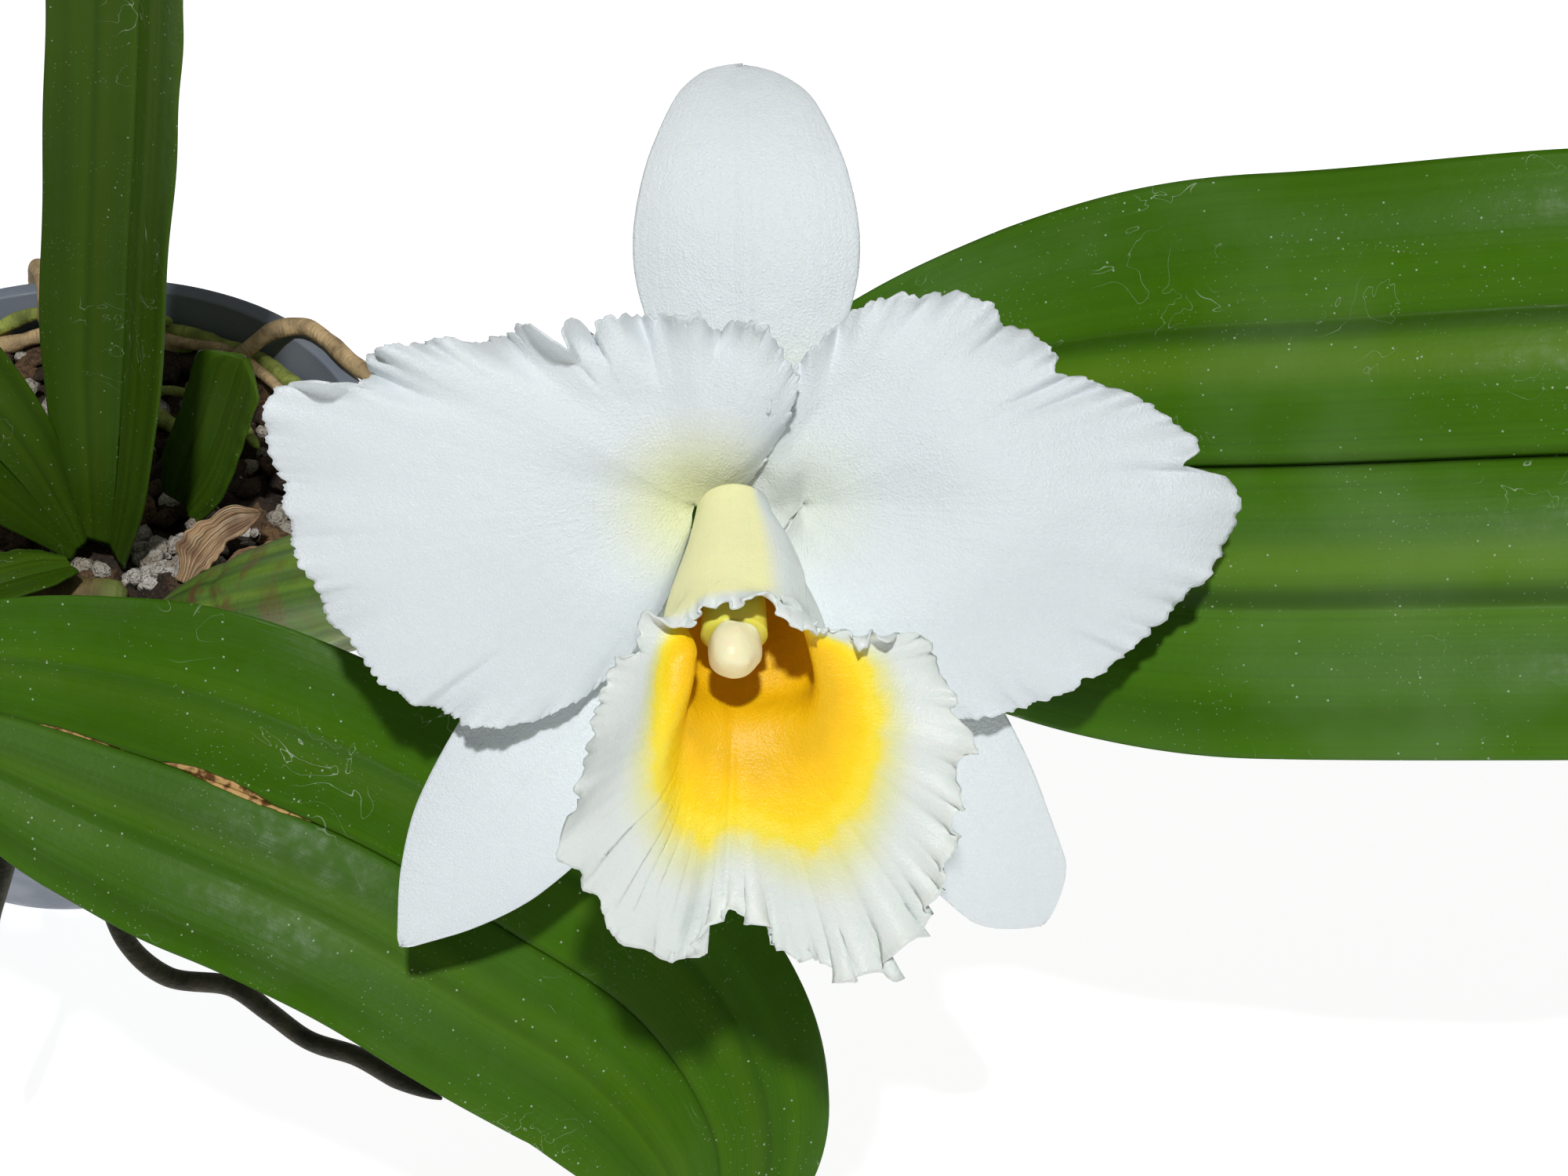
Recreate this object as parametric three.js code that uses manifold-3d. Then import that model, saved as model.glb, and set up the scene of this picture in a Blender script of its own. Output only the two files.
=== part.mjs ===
// A cattleya-type orchid in flower, growing in a round plastic pot.
// Millimetres, +Z up. The origin is the centre of the pot's flat underside, +X is to the right of the
// flower as it is looked at, and the flower leans out towards +X and -Y.
import * as THREE from "three";
import { mergeVertices } from "three/addons/utils/BufferGeometryUtils.js";
import Module from "manifold-3d";

const wasm = await Module();
wasm.setup();

// ---------------------------------------------------------------- driving dimensions
const GAP = 0.3; // clearance between two pieces that touch
const ROUND_SIDES = 40; // facets round the pot

// pot
const POT_HEIGHT = 70;
const POT_RIM_RADIUS = 65;
const POT_BASE_RADIUS = 43;
const POT_WALL = 2;
const POT_FLOOR = 3;
const RIM_BAND_HEIGHT = 13; // the thicker band round the mouth
const RIM_BAND_STEP = 2; // how far the band stands out from the wall
const BASE_CHAMFER = 1.5;
const DRAIN_HOLE_RADIUS = 4;
const DRAIN_HOLE_COUNT = 6;
const DRAIN_CIRCLE_RADIUS = 29;

// potting mix
const MIX_BELOW_RIM = 9; // from the mix's mean surface up to the rim
const MIX_LUMP = 0.9; // how far the surface rises and falls
const WALL_MARGIN = 4.5; // bare mix kept between the wall and what lies on the mix

// plant
const RHIZOME_RADIUS = 3.6;
const BULB_SIDES = 10;
const BULB_STEPS = 8;
const BULB_NECK = 3.6; // radius of a bulb at both ends
const ROOT_RADIUS = 1.7;
const ROOT_SIDES = 8;
const AERIAL_ROOT_RADIUS = 1.6;
const THICK_ROOT_RADIUS = 2.6;
const LEAF_THICKNESS = 2;
const YOUNG_LEAF_THICKNESS = 1.4;
const SHEATH_THICKNESS = 1;

// flower
const FLOWER_FROM_BULB = [24, -36, 37]; // from the flowering bulb's top to where the petals and lip join
const FACE_ELEVATION = 42; // degrees above the horizon that the flower looks
const FACE_TURN = 1; // degrees towards +X from -Y
const SEPAL_THICKNESS = 1;
const PETAL_THICKNESS = 1;
const LIP_THICKNESS = 0.9;
const SEPAL_LAYER = -4.5; // how far behind the petals the sepals start
const PETAL_BASE = 7; // from the flower's axis to the middle of a petal's foot
const LIP_TILT = 45; // degrees that the lip's tube points below the flower's axis
const LIP_BASE_RADIUS = 4.2;
const LIP_START = [-2, -0.5, 3.3]; // the middle of the lip's foot, from the middle of the petals
const COLUMN_LENGTH = 23;
const COLUMN_RADIUS = 2.6;
const ANTHER_LENGTH = 4.5;
const STALK_RADIUS = 1.9;
const RECEPTACLE_RADIUS = 6.2; // the stalk's end, which bears the sepals, petals and lip
const RECEPTACLE_FRONT = 2.4; // how far that end lies behind the petals' plane

// derived sizes
const MIX_TOP = POT_HEIGHT - MIX_BELOW_RIM;
const BAND_FOOT = POT_HEIGHT - RIM_BAND_HEIGHT;
const GROUND = MIX_TOP + MIX_LUMP + GAP; // the lowest level of what lies on the mix

// ---------------------------------------------------------------- materials
const material = (color, roughness) => new THREE.MeshStandardMaterial({ color, roughness, metalness: 0 });
const POT_PLASTIC = material(0x4b5058, 0.55);
const BARK = material(0x3a2a1e, 0.95);
const PUMICE = material(0xc9c4bc, 0.9);
const BULB_GREEN = material(0x55752a, 0.5);
const RHIZOME_BROWN = material(0x6a5a35, 0.8);
const LEAF_GREEN = material(0x2f5f12, 0.4);
const YOUNG_GREEN = material(0x477a1c, 0.45);
const DRY_SHEATH = material(0xb99a72, 0.85);
const ROOT_TAN = material(0xb59d73, 0.8);
const ROOT_GREEN = material(0x8f9a45, 0.7);
const ROOT_DARK = material(0x3a3526, 0.7);
const STALK_GREEN = material(0x6f9440, 0.5);
const TEPAL_WHITE = material(0xf2f4f5, 0.6);
const LIP_WHITE = material(0xf6f4e6, 0.6);
const COLUMN_CREAM = material(0xf1e79a, 0.5);

// ---------------------------------------------------------------- shaping tools
const rad = THREE.MathUtils.degToRad;
const clamp01 = (x) => THREE.MathUtils.clamp(x, 0, 1);
const smooth = (a, b, x) => THREE.MathUtils.smoothstep(x, a, b);
const vec = (x, y, z) => new THREE.Vector3(x, y, z);

const root = new THREE.Group();

function add(name, geometry, finish, group = root) {
  const mesh = new THREE.Mesh(geometry, finish);
  mesh.name = name;
  group.add(mesh);
  return mesh;
}

// Moves every vertex of a closed three.js geometry by a rule. Vertices that share a place move alike,
// so the geometry stays closed.
function shaped(template, rule) {
  const position = template.getAttribute("position");
  const at = vec(0, 0, 0);
  for (let i = 0; i < position.count; i++) {
    at.fromBufferAttribute(position, i);
    const moved = rule(at.x, at.y, at.z);
    position.setXYZ(i, moved.x, moved.y, moved.z);
  }
  template.computeVertexNormals();
  return template;
}

// A smooth line through a few [x, value] points, read at x.
function lineThrough(points) {
  const curve = new THREE.SplineCurve(points.map(([x, y]) => new THREE.Vector2(x, y)));
  const steps = curve.getPoints(points.length * 12);
  return (x) => {
    const after = steps.findIndex((p) => p.x >= x);
    if (after <= 0) return steps[after === 0 ? 0 : steps.length - 1].y;
    const [a, b] = [steps[after - 1], steps[after]];
    return a.y + ((b.y - a.y) * (x - a.x)) / Math.max(b.x - a.x, 1e-6);
  };
}

const curveOf = (points) => new THREE.CatmullRomCurve3(points.map((p) => vec(...p)), false, "centripetal");

// A closed manifold-3d solid of a geometry, and the way back.
function solidOf(geometry) {
  const plain = new THREE.BufferGeometry().setAttribute(
    "position",
    (geometry.index ? geometry.toNonIndexed() : geometry).getAttribute("position"),
  );
  const merged = mergeVertices(plain, 1e-3);
  return new wasm.Manifold(
    new wasm.Mesh({
      numProp: 3,
      vertProperties: merged.attributes.position.array,
      triVerts: new Uint32Array(merged.index.array),
    }),
  );
}

function geometryOf(solid) {
  const mesh = solid.getMesh();
  return new THREE.BufferGeometry()
    .setAttribute("position", new THREE.BufferAttribute(mesh.vertProperties, 3))
    .setIndex(new THREE.BufferAttribute(mesh.triVerts, 1));
}

// A round rod along a curve, its radius a function of the share t along it, with closed ends.
function rod(curve, radiusAt, sides, steps) {
  const frames = curve.computeFrenetFrames(steps, false);
  return shaped(new THREE.CylinderGeometry(1, 1, 1, sides, steps), (x, y, z) => {
    const t = clamp01(y + 0.5);
    const i = Math.round(t * steps);
    return curve
      .getPointAt(t)
      .addScaledVector(frames.normals[i], z * radiusAt(t))
      .addScaledVector(frames.binormals[i], x * radiusAt(t));
  });
}

// A blade along a curve. facing is the side that its upper face looks to. half(t) is its half width,
// section(q, t) how far its face stands off at q, from -1 to 1 across, and thick(q, t) its thickness.
function blade({ curve, facing, facingTip = facing, half, section, thick, across, along }) {
  const turned = vec(0, 0, 0);
  return shaped(new THREE.BoxGeometry(2, 1, 1, across, along, 1), (q, y, side) => {
    const t = clamp01(y + 0.5);
    const tangent = curve.getTangentAt(t);
    turned.lerpVectors(vec(...facing), vec(...facingTip), t);
    const sideways = vec(0, 0, 0).crossVectors(tangent, turned).normalize();
    const normal = vec(0, 0, 0).crossVectors(sideways, tangent);
    return curve
      .getPointAt(t)
      .addScaledVector(sideways, q * half(t))
      .addScaledVector(normal, section(q, t) + side * thick(q, t));
  });
}

// ---------------------------------------------------------------- pot and mix
const wallInner = (z) =>
  THREE.MathUtils.lerp(POT_BASE_RADIUS, POT_RIM_RADIUS - RIM_BAND_STEP, z / POT_HEIGHT) - POT_WALL;
const wallOuter = (z) => wallInner(z) + POT_WALL;

function lathe(profile) {
  const points = profile.map(([r, z]) => new THREE.Vector2(r, z));
  return new THREE.LatheGeometry(points, ROUND_SIDES).rotateX(Math.PI / 2);
}

function potGeometry() {
  const body = lathe([
    [0, 0],
    [POT_BASE_RADIUS - BASE_CHAMFER, 0],
    [POT_BASE_RADIUS, BASE_CHAMFER],
    [wallOuter(BAND_FOOT - RIM_BAND_STEP), BAND_FOOT - RIM_BAND_STEP],
    [wallOuter(BAND_FOOT) + RIM_BAND_STEP, BAND_FOOT],
    [POT_RIM_RADIUS, POT_HEIGHT - POT_WALL / 2],
    [POT_RIM_RADIUS - POT_WALL / 2, POT_HEIGHT],
    [wallInner(POT_HEIGHT), POT_HEIGHT],
    [wallInner(POT_FLOOR), POT_FLOOR],
    [0, POT_FLOOR],
  ]);
  let solid = solidOf(body);
  const hole = new THREE.CylinderGeometry(DRAIN_HOLE_RADIUS, DRAIN_HOLE_RADIUS, POT_FLOOR * 4, 12);
  hole.rotateX(Math.PI / 2);
  for (let i = 0; i < DRAIN_HOLE_COUNT; i++) {
    const angle = (i / DRAIN_HOLE_COUNT) * 2 * Math.PI;
    const [x, y] = [DRAIN_CIRCLE_RADIUS * Math.cos(angle), DRAIN_CIRCLE_RADIUS * Math.sin(angle)];
    solid = solid.subtract(solidOf(hole.clone().translate(x, y, 0)));
  }
  return geometryOf(solid);
}

// Height of the mix's surface: a gentle swell of two crossing waves.
const mixSwell = (x, y) => MIX_LUMP * Math.sin(x * 0.19 + 1.1) * Math.cos(y * 0.17 - 0.6);

function mixGeometry() {
  const foot = POT_FLOOR + GAP;
  const shoulder = MIX_TOP - 2 * MIX_LUMP;
  const edge = wallInner(shoulder) - 2 * GAP;
  const rings = [0.93, 0.75, 0.55, 0.35, 0.16];
  const body = lathe([
    [0, foot],
    [wallInner(foot) - 2 * GAP, foot],
    [edge, shoulder],
    ...rings.map((share) => [edge * share, MIX_TOP]),
    [0, MIX_TOP],
  ]);
  return shaped(body, (x, y, z) => vec(x, y, z > shoulder + GAP ? z + mixSwell(x, y) : z));
}

add("pot", potGeometry(), POT_PLASTIC);
add("potting_mix", mixGeometry(), BARK);

// A place in or on the pot: an angle in degrees from +X, a radius and a height.
const polar = (angle, radius, z) => [radius * Math.cos(rad(angle)), radius * Math.sin(rad(angle)), z];

// Loose pieces on the mix: an angle, a share of the free radius, half sizes, and a turn in degrees.
const CHIPS = [
  { at: [98, 0.62], size: [8, 4.5, 2.6], turn: 25 },
  { at: [136, 0.78], size: [7, 5, 2.4], turn: 70 },
  { at: [80, 0.98], size: [7, 4, 2.4], turn: -5 },
  { at: [236, 0.92], size: [7, 4.5, 2.4], turn: 10 },
  { at: [140, 0.3], size: [6, 4.5, 2.4], turn: 120 },
  { at: [196, 0.86], size: [6, 4.5, 2.6], turn: 95 },
];
const PEBBLES = [
  { at: [350, 0.7], size: [2.6, 2.3, 1.9] },
  { at: [16, 0.86], size: [2.3, 2.6, 1.8] },
  { at: [340, 0.42], size: [2.4, 2.2, 1.8] },
  { at: [36, 0.3], size: [2.6, 2.3, 1.9] },
  { at: [66, 0.24], size: [2.3, 2.1, 1.8] },
  { at: [300, 0.62], size: [2.5, 2.3, 1.9] },
];
const FREE_RADIUS = wallInner(MIX_TOP) - WALL_MARGIN;

function onMix(template, { at: [angle, share], size, turn = 0 }) {
  return template
    .scale(...size)
    .rotateZ(rad(turn))
    .translate(...polar(angle, share * (FREE_RADIUS - size[0]), GROUND + size[2]));
}

CHIPS.forEach((chip, i) => add("bark_chip_" + (i + 1), onMix(new THREE.BoxGeometry(2, 2, 2), chip), BARK));
PEBBLES.forEach((pebble, i) =>
  add("pumice_" + (i + 1), onMix(new THREE.IcosahedronGeometry(1, 0), pebble), PUMICE),
);

// ---------------------------------------------------------------- rhizome and pseudobulbs
// In the plant's group z starts at the level that lies on the mix.
const plant = new THREE.Group();
plant.position.z = GROUND;
root.add(plant);

const RHIZOME_PATH = [
  [-40, 12, RHIZOME_RADIUS],
  [-22, -4, RHIZOME_RADIUS],
  [-4, -16, RHIZOME_RADIUS],
  [10, -22, RHIZOME_RADIUS],
  [21, -22.5, RHIZOME_RADIUS],
];
const rhizomeRadius = (t) => RHIZOME_RADIUS * (1 - 0.25 * Math.abs(2 * t - 1) ** 4);
add("rhizome", rod(curveOf(RHIZOME_PATH), rhizomeRadius, BULB_SIDES, 12), RHIZOME_BROWN, plant);

// Each bulb: its foot, how high its foot sits over what bears it, its top, how it bows, and its
// greatest radius.
const ON_RHIZOME = 2 * RHIZOME_RADIUS + GAP;
const BULBS = {
  pseudobulb_flowering: { foot: [29.5, -28], over: 0, top: [110, -63, 60], bow: [2, -2, 4], radius: 8.8 },
  pseudobulb_front: { foot: [-14, -11], over: ON_RHIZOME, top: [4, -95, 62], bow: [-3, 0, 5], radius: 8 },
  pseudobulb_left: { foot: [-22, -5], over: ON_RHIZOME, top: [-74, -38, 86], bow: [-4, -2, 6], radius: 8 },
  pseudobulb_back: { foot: [-46.5, 17], over: 0, top: [-74, 62, 84], bow: [-3, 2, 4], radius: 8.5 },
  pseudobulb_old: { foot: [-31, 6], over: ON_RHIZOME, top: [-38, 28, 88], bow: [2, 3, 4], radius: 8 },
};
const bulbRadius = (most) => (t) =>
  BULB_NECK + (most - BULB_NECK) * Math.sin(Math.PI * clamp01(t)) ** 0.8 * (1.12 - 0.24 * t);

function bulbCurve({ foot, over, top, bow }) {
  const lean = Math.atan2(top[2] - over, Math.hypot(top[0] - foot[0], top[1] - foot[1]));
  const low = vec(foot[0], foot[1], over + BULB_NECK * Math.cos(lean) + GAP);
  const high = vec(...top);
  const middle = low.clone().lerp(high, 0.5).add(vec(...bow));
  return curveOf([low.toArray(), middle.toArray(), high.toArray()]);
}

for (const [name, bulb] of Object.entries(BULBS))
  add(name, rod(bulbCurve(bulb), bulbRadius(bulb.radius), BULB_SIDES, BULB_STEPS), BULB_GREEN, plant);

// Dry papery sheaths: open cones round the foot of a bulb, from one share of its length to another.
function sheathGeometry(bulb, { from, to, flare, open, wrap }) {
  const curve = bulbCurve(bulb);
  const radius = bulbRadius(bulb.radius);
  const frameCount = 40;
  const frames = curve.computeFrenetFrames(frameCount, false);
  return shaped(new THREE.BoxGeometry(2, 1, 1, 10, 5, 1), (q, y, side) => {
    const t = clamp01(y + 0.5);
    const along = from + (to - from) * t * (1 - 0.35 * q * q);
    const i = Math.round(along * frameCount);
    const angle = rad(open) + q * rad(wrap * (1 - 0.4 * t));
    const off = radius(along) + 2 * GAP + SHEATH_THICKNESS + flare * t * t + SHEATH_THICKNESS * side;
    return curve
      .getPointAt(along)
      .addScaledVector(frames.normals[i], Math.cos(angle) * off)
      .addScaledVector(frames.binormals[i], Math.sin(angle) * off);
  });
}
const SHEATHS = {
  dry_sheath_flowering: ["pseudobulb_flowering", { from: 0.12, to: 0.36, flare: 3, open: 250, wrap: 80 }],
  dry_sheath_front: ["pseudobulb_front", { from: 0.1, to: 0.34, flare: 2, open: 60, wrap: 100 }],
  dry_sheath_left: ["pseudobulb_left", { from: 0.1, to: 0.36, flare: 2, open: 200, wrap: 110 }],
  dry_sheath_old: ["pseudobulb_old", { from: 0.2, to: 0.5, flare: 2, open: 100, wrap: 90 }],
};
for (const [name, [bulb, shape]] of Object.entries(SHEATHS))
  add(name, sheathGeometry(BULBS[bulb], shape), DRY_SHEATH, plant);

// ---------------------------------------------------------------- leaves
// The outline of a strap leaf, as a share of its half width: a narrow foot, then full, then a round tip.
function strapOutline(foot, full, closing) {
  return (t) => {
    const grown = foot + (1 - foot) * Math.sin((Math.PI / 2) * clamp01(t / full));
    const end = clamp01((t - closing) / (1 - closing));
    return grown * Math.max(Math.sqrt(1 - end ** 2.3), 0.09);
  };
}

const LEAF_DEFAULTS = { thickness: LEAF_THICKNESS, across: 8, along: 12 };
const SMALL_BLADE = { thickness: SHEATH_THICKNESS, across: 4, along: 6 };

function leafGeometry(leaf) {
  const { path, facing, facingTip, width, foot, full, closing, fold, pleat, thickness, across, along } = {
    ...LEAF_DEFAULTS,
    ...leaf,
  };
  const outline = strapOutline(foot, full, closing);
  const half = (t) => (width / 2) * outline(t);
  return blade({
    curve: curveOf(path),
    facing,
    facingTip,
    half,
    section: (q, t) =>
      half(t) * fold * Math.hypot(q, 0.1) + pleat * Math.abs(Math.sin(2 * Math.PI * q)) * outline(t),
    thick: (q) => thickness * (1 - 0.45 * q * q),
    across,
    along,
  });
}

// What grows from the end of a bulb starts a gap beyond it, off its middle by a side step.
function endOf(bulb, sideStep) {
  const axis = bulbCurve(bulb).getTangentAt(1);
  const front = vec(...FLOWER_FROM_BULB).projectOnPlane(axis).normalize();
  const start = vec(...bulb.top).addScaledVector(axis, 2 * GAP).addScaledVector(front, sideStep);
  return [start.toArray(), start.clone().addScaledVector(axis, 4).toArray()];
}
const moved = (from, step) => from.map((value, axis) => value + step[axis]);
const fromTop = (bulb, steps) => steps.map((step) => moved(bulb.top, step));

// Each leaf's steps are measured from its bulb's top.
const LEAVES = {
  leaf_right: {
    bulb: "pseudobulb_flowering",
    steps: [
      [28, -1, 8], [61, -11, 20], [97, -21, 30], [130, -29, 39], [175, -35, 46], [211, -40, 51],
    ],
    facing: [0.1, -0.72, 0.69],
    facingTip: [0.3, -0.6, 0.74],
    width: 78,
    foot: 0.09,
    full: 0.45,
    closing: 0.6,
    fold: 0.1,
    pleat: 1.8,
  },
  leaf_front: {
    bulb: "pseudobulb_front",
    steps: [
      [24, -6, -2], [42, -10, -5], [59, -15, -8], [78, -21, -14], [96, -27, -24], [114, -33, -37],
      [124, -42, -52], [125, -52, -67],
    ],
    facing: [-0.1, -0.6, 0.79],
    facingTip: [0.35, -0.7, 0.62],
    width: 46,
    foot: 0.14,
    full: 0.42,
    closing: 0.66,
    fold: 0.16,
    pleat: 0.5,
  },
  leaf_left: {
    bulb: "pseudobulb_left",
    steps: [[-16, -8, 20], [-44, -18, 40], [-82, -28, 50], [-116, -36, 46], [-140, -42, 34]],
    facing: [0.3, -0.3, 0.9],
    facingTip: [-0.3, -0.3, 0.9],
    width: 54,
    foot: 0.12,
    full: 0.36,
    closing: 0.64,
    fold: 0.24,
    pleat: 0.6,
  },
  leaf_back: {
    bulb: "pseudobulb_back",
    steps: [[-12, 16, 22], [-34, 44, 42], [-58, 76, 48], [-78, 104, 40], [-90, 122, 28]],
    facing: [0.3, -0.55, 0.75],
    facingTip: [-0.2, 0.3, 0.9],
    width: 50,
    foot: 0.12,
    full: 0.36,
    closing: 0.64,
    fold: 0.26,
    pleat: 0.6,
  },
  leaf_old: {
    bulb: "pseudobulb_old",
    steps: [[-8, 12, 22], [-24, 34, 52], [-44, 58, 76], [-66, 84, 88], [-84, 104, 86]],
    facing: [0.2, -0.7, 0.7],
    facingTip: [-0.1, 0.2, 0.95],
    width: 46,
    foot: 0.12,
    full: 0.36,
    closing: 0.64,
    fold: 0.26,
    pleat: 0.6,
  },
};
const LEAF_SIDE_STEP = -1.8; // behind the middle of the bulb's end

for (const [name, leaf] of Object.entries(LEAVES)) {
  const bulb = BULBS[leaf.bulb];
  const path = [...endOf(bulb, LEAF_SIDE_STEP), ...fromTop(bulb, leaf.steps)];
  add(name, leafGeometry({ ...leaf, path }), LEAF_GREEN, plant);
}

// The new growth beside the flowering bulb: a fan of folded leaves with no bulb yet.
const FAN = {
  fan_leaf_upright: {
    path: [
      [15, -7.5, 2], [19.5, -6, 18], [25, -2, 43], [30, 0, 66], [35, 2, 88], [39, 5, 108],
      [44, 7, 133], [48, 9, 153],
    ],
    facing: [-0.5, -0.83, 0.2],
    facingTip: [-0.4, -0.85, 0.35],
    width: 27,
    foot: 0.2,
    full: 0.36,
    closing: 0.72,
    fold: 0.55,
    pleat: 0.2,
  },
  fan_leaf_left: {
    path: [
      [8.5, -9, 2], [5, -9.5, 12], [-1, -11, 28], [-14, -11, 50], [-31, -12, 68], [-50, -12, 81],
      [-68, -10, 87],
    ],
    facing: [0.5, -0.5, 0.7],
    facingTip: [-0.2, -0.2, 0.96],
    width: 27,
    foot: 0.18,
    full: 0.4,
    closing: 0.66,
    fold: 0.45,
    pleat: 0.2,
  },
  fan_leaf_low: {
    path: [[12, -21.5, 9], [7, -25, 10.5], [1, -28.5, 11.5], [-5, -30, 11]],
    facing: [0.2, 0.3, 0.9],
    facingTip: [-0.2, -0.2, 0.96],
    width: 13,
    foot: 0.5,
    full: 0.4,
    closing: 0.6,
    fold: 0.35,
    pleat: 0.2,
  },
  young_leaf: {
    path: [[27, 3, 2.5], [33, 3, 13], [38, 5, 24], [42.5, 6, 35]],
    facing: [-0.5, -0.8, 0.35],
    facingTip: [-0.4, -0.8, 0.4],
    width: 15,
    foot: 0.6,
    full: 0.35,
    closing: 0.9,
    fold: 0.5,
    pleat: 0.1,
  },
};
for (const [name, leaf] of Object.entries(FAN))
  add(name, leafGeometry({ ...leaf, thickness: YOUNG_LEAF_THICKNESS }), YOUNG_GREEN, plant);

// Torn dry husks that stand round the flowering bulb's foot.
const HUSKS = {
  dry_husk_tall: {
    path: [[31, -19, 3], [33.5, -16, 7], [38, -13, 11], [44.5, -11, 13]],
    facing: [-0.4, -0.6, 0.7],
    facingTip: [0.2, -0.5, 0.85],
    width: 9,
    foot: 0.55,
    full: 0.5,
    closing: 0.5,
    fold: 0.5,
    pleat: 0,
  },
  dry_husk_low: {
    path: [[37, -18, 3], [43, -16, 5], [50, -15, 7], [57, -16, 9]],
    facing: [0, -0.5, 0.85],
    facingTip: [0, -0.4, 0.9],
    width: 7,
    foot: 0.55,
    full: 0.5,
    closing: 0.5,
    fold: 0.4,
    pleat: 0,
  },
};
for (const [name, husk] of Object.entries(HUSKS))
  add(name, leafGeometry({ ...husk, ...SMALL_BLADE }), DRY_SHEATH, plant);

// ---------------------------------------------------------------- roots
const LYING = GROUND + ROOT_RADIUS;
const AT_WALL = wallInner(LYING - ROOT_RADIUS) - ROOT_RADIUS - 2 * GAP;
const OVER_RIM = POT_HEIGHT + ROOT_RADIUS + 2 * GAP;
const OUTSIDE = POT_RIM_RADIUS + ROOT_RADIUS + 2 * GAP;
const RIM_MIDDLE = POT_RIM_RADIUS - (RIM_BAND_STEP + POT_WALL) / 2;

const lyingAt = (angles, radius) => angles.map((angle) => polar(angle, radius, LYING));

const ROOTS = {
  root_over_rim_right: {
    finish: ROOT_TAN,
    path: [
      polar(60, AT_WALL - 15, LYING),
      polar(56, AT_WALL - 9, LYING + 1),
      polar(53, AT_WALL - 3, OVER_RIM - 3.5),
      polar(50, RIM_MIDDLE - 4, OVER_RIM - 0.4),
      polar(46, RIM_MIDDLE, OVER_RIM + 0.2),
      polar(40, RIM_MIDDLE + 1, OVER_RIM + 0.1),
      polar(33, RIM_MIDDLE + 1.6, OVER_RIM + 0.1),
      polar(27, OUTSIDE - 0.4, OVER_RIM - 0.8),
      polar(23, OUTSIDE + 1, OVER_RIM - 6),
      polar(20, OUTSIDE + 0.6, OVER_RIM - 15),
    ],
  },
  root_over_rim_left: {
    finish: ROOT_TAN,
    path: [
      polar(98, AT_WALL - 16, LYING),
      polar(99, AT_WALL - 9, LYING + 1),
      polar(100, AT_WALL - 2, OVER_RIM - 3.5),
      polar(100, RIM_MIDDLE - 3, OVER_RIM),
      polar(101, RIM_MIDDLE + 2, OVER_RIM + 0.4),
      polar(102, OUTSIDE + 0.6, OVER_RIM - 2),
      polar(103, OUTSIDE + 1, OVER_RIM - 9),
      polar(104, OUTSIDE + 0.4, OVER_RIM - 18),
    ],
  },
  root_round_back: { finish: ROOT_GREEN, path: lyingAt([86, 74, 62, 50, 38], AT_WALL) },
  root_round_left: { finish: ROOT_TAN, path: lyingAt([108, 119, 131, 144], AT_WALL) },
  root_round_right: { finish: ROOT_GREEN, path: lyingAt([26, 12, -2, -16], AT_WALL - 1) },
  root_front: { finish: ROOT_GREEN, path: lyingAt([230, 250, 270, 290], AT_WALL) },
  root_inner: { finish: ROOT_GREEN, path: lyingAt([60, 44, 28, 14], AT_WALL * 0.58) },
};

// The aerial roots pass over the rim, and their steps are measured from where they cross it.
const AERIAL_ROOTS = {
  aerial_root_front: {
    radius: AERIAL_ROOT_RADIUS,
    inside: [8, -33, 2.2],
    crossing: -75,
    steps: [
      [5, -9, 2], [11, -20, -1], [15, -29, -6], [18, -34, -12], [24, -37, -17], [34, -37, -20],
      [40, -40, -23], [46, -43, -26], [54, -46, -26], [61, -49, -28], [68, -52, -29],
    ],
  },
  aerial_root_left: {
    radius: THICK_ROOT_RADIUS,
    inside: [-6, -39, 3.4],
    crossing: -88,
    steps: [
      [4, -9, 2], [12, -21, -2], [10, -30, -9], [8, -37, -16], [6, -42, -25],
    ],
  },
};
function aerialPath({ radius, inside, crossing, steps }) {
  const start = [inside[0], inside[1], inside[2] + GROUND];
  const level = POT_HEIGHT + radius + 4 * GAP;
  const over = polar(crossing, RIM_MIDDLE, level);
  const before = polar(crossing, RIM_MIDDLE - 3 * radius, level);
  return [start, before, over, ...steps.map((step) => moved(over, step))];
}

// A root is a round section drawn along its path.
function rootGeometry(path, radius) {
  const section = new THREE.Shape().absarc(0, 0, radius, 0, 2 * Math.PI);
  const curve = curveOf(path);
  const steps = Math.max(4, Math.round(curve.getLength() / (radius * 3.4)));
  return new THREE.ExtrudeGeometry(section, {
    steps,
    curveSegments: ROOT_SIDES / 2,
    extrudePath: curve,
    bevelEnabled: false,
  });
}

for (const [name, { path, finish }] of Object.entries(ROOTS))
  add(name, rootGeometry(path, ROOT_RADIUS), finish);
for (const [name, aerial] of Object.entries(AERIAL_ROOTS))
  add(name, rootGeometry(aerialPath(aerial), aerial.radius), ROOT_DARK);

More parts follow.
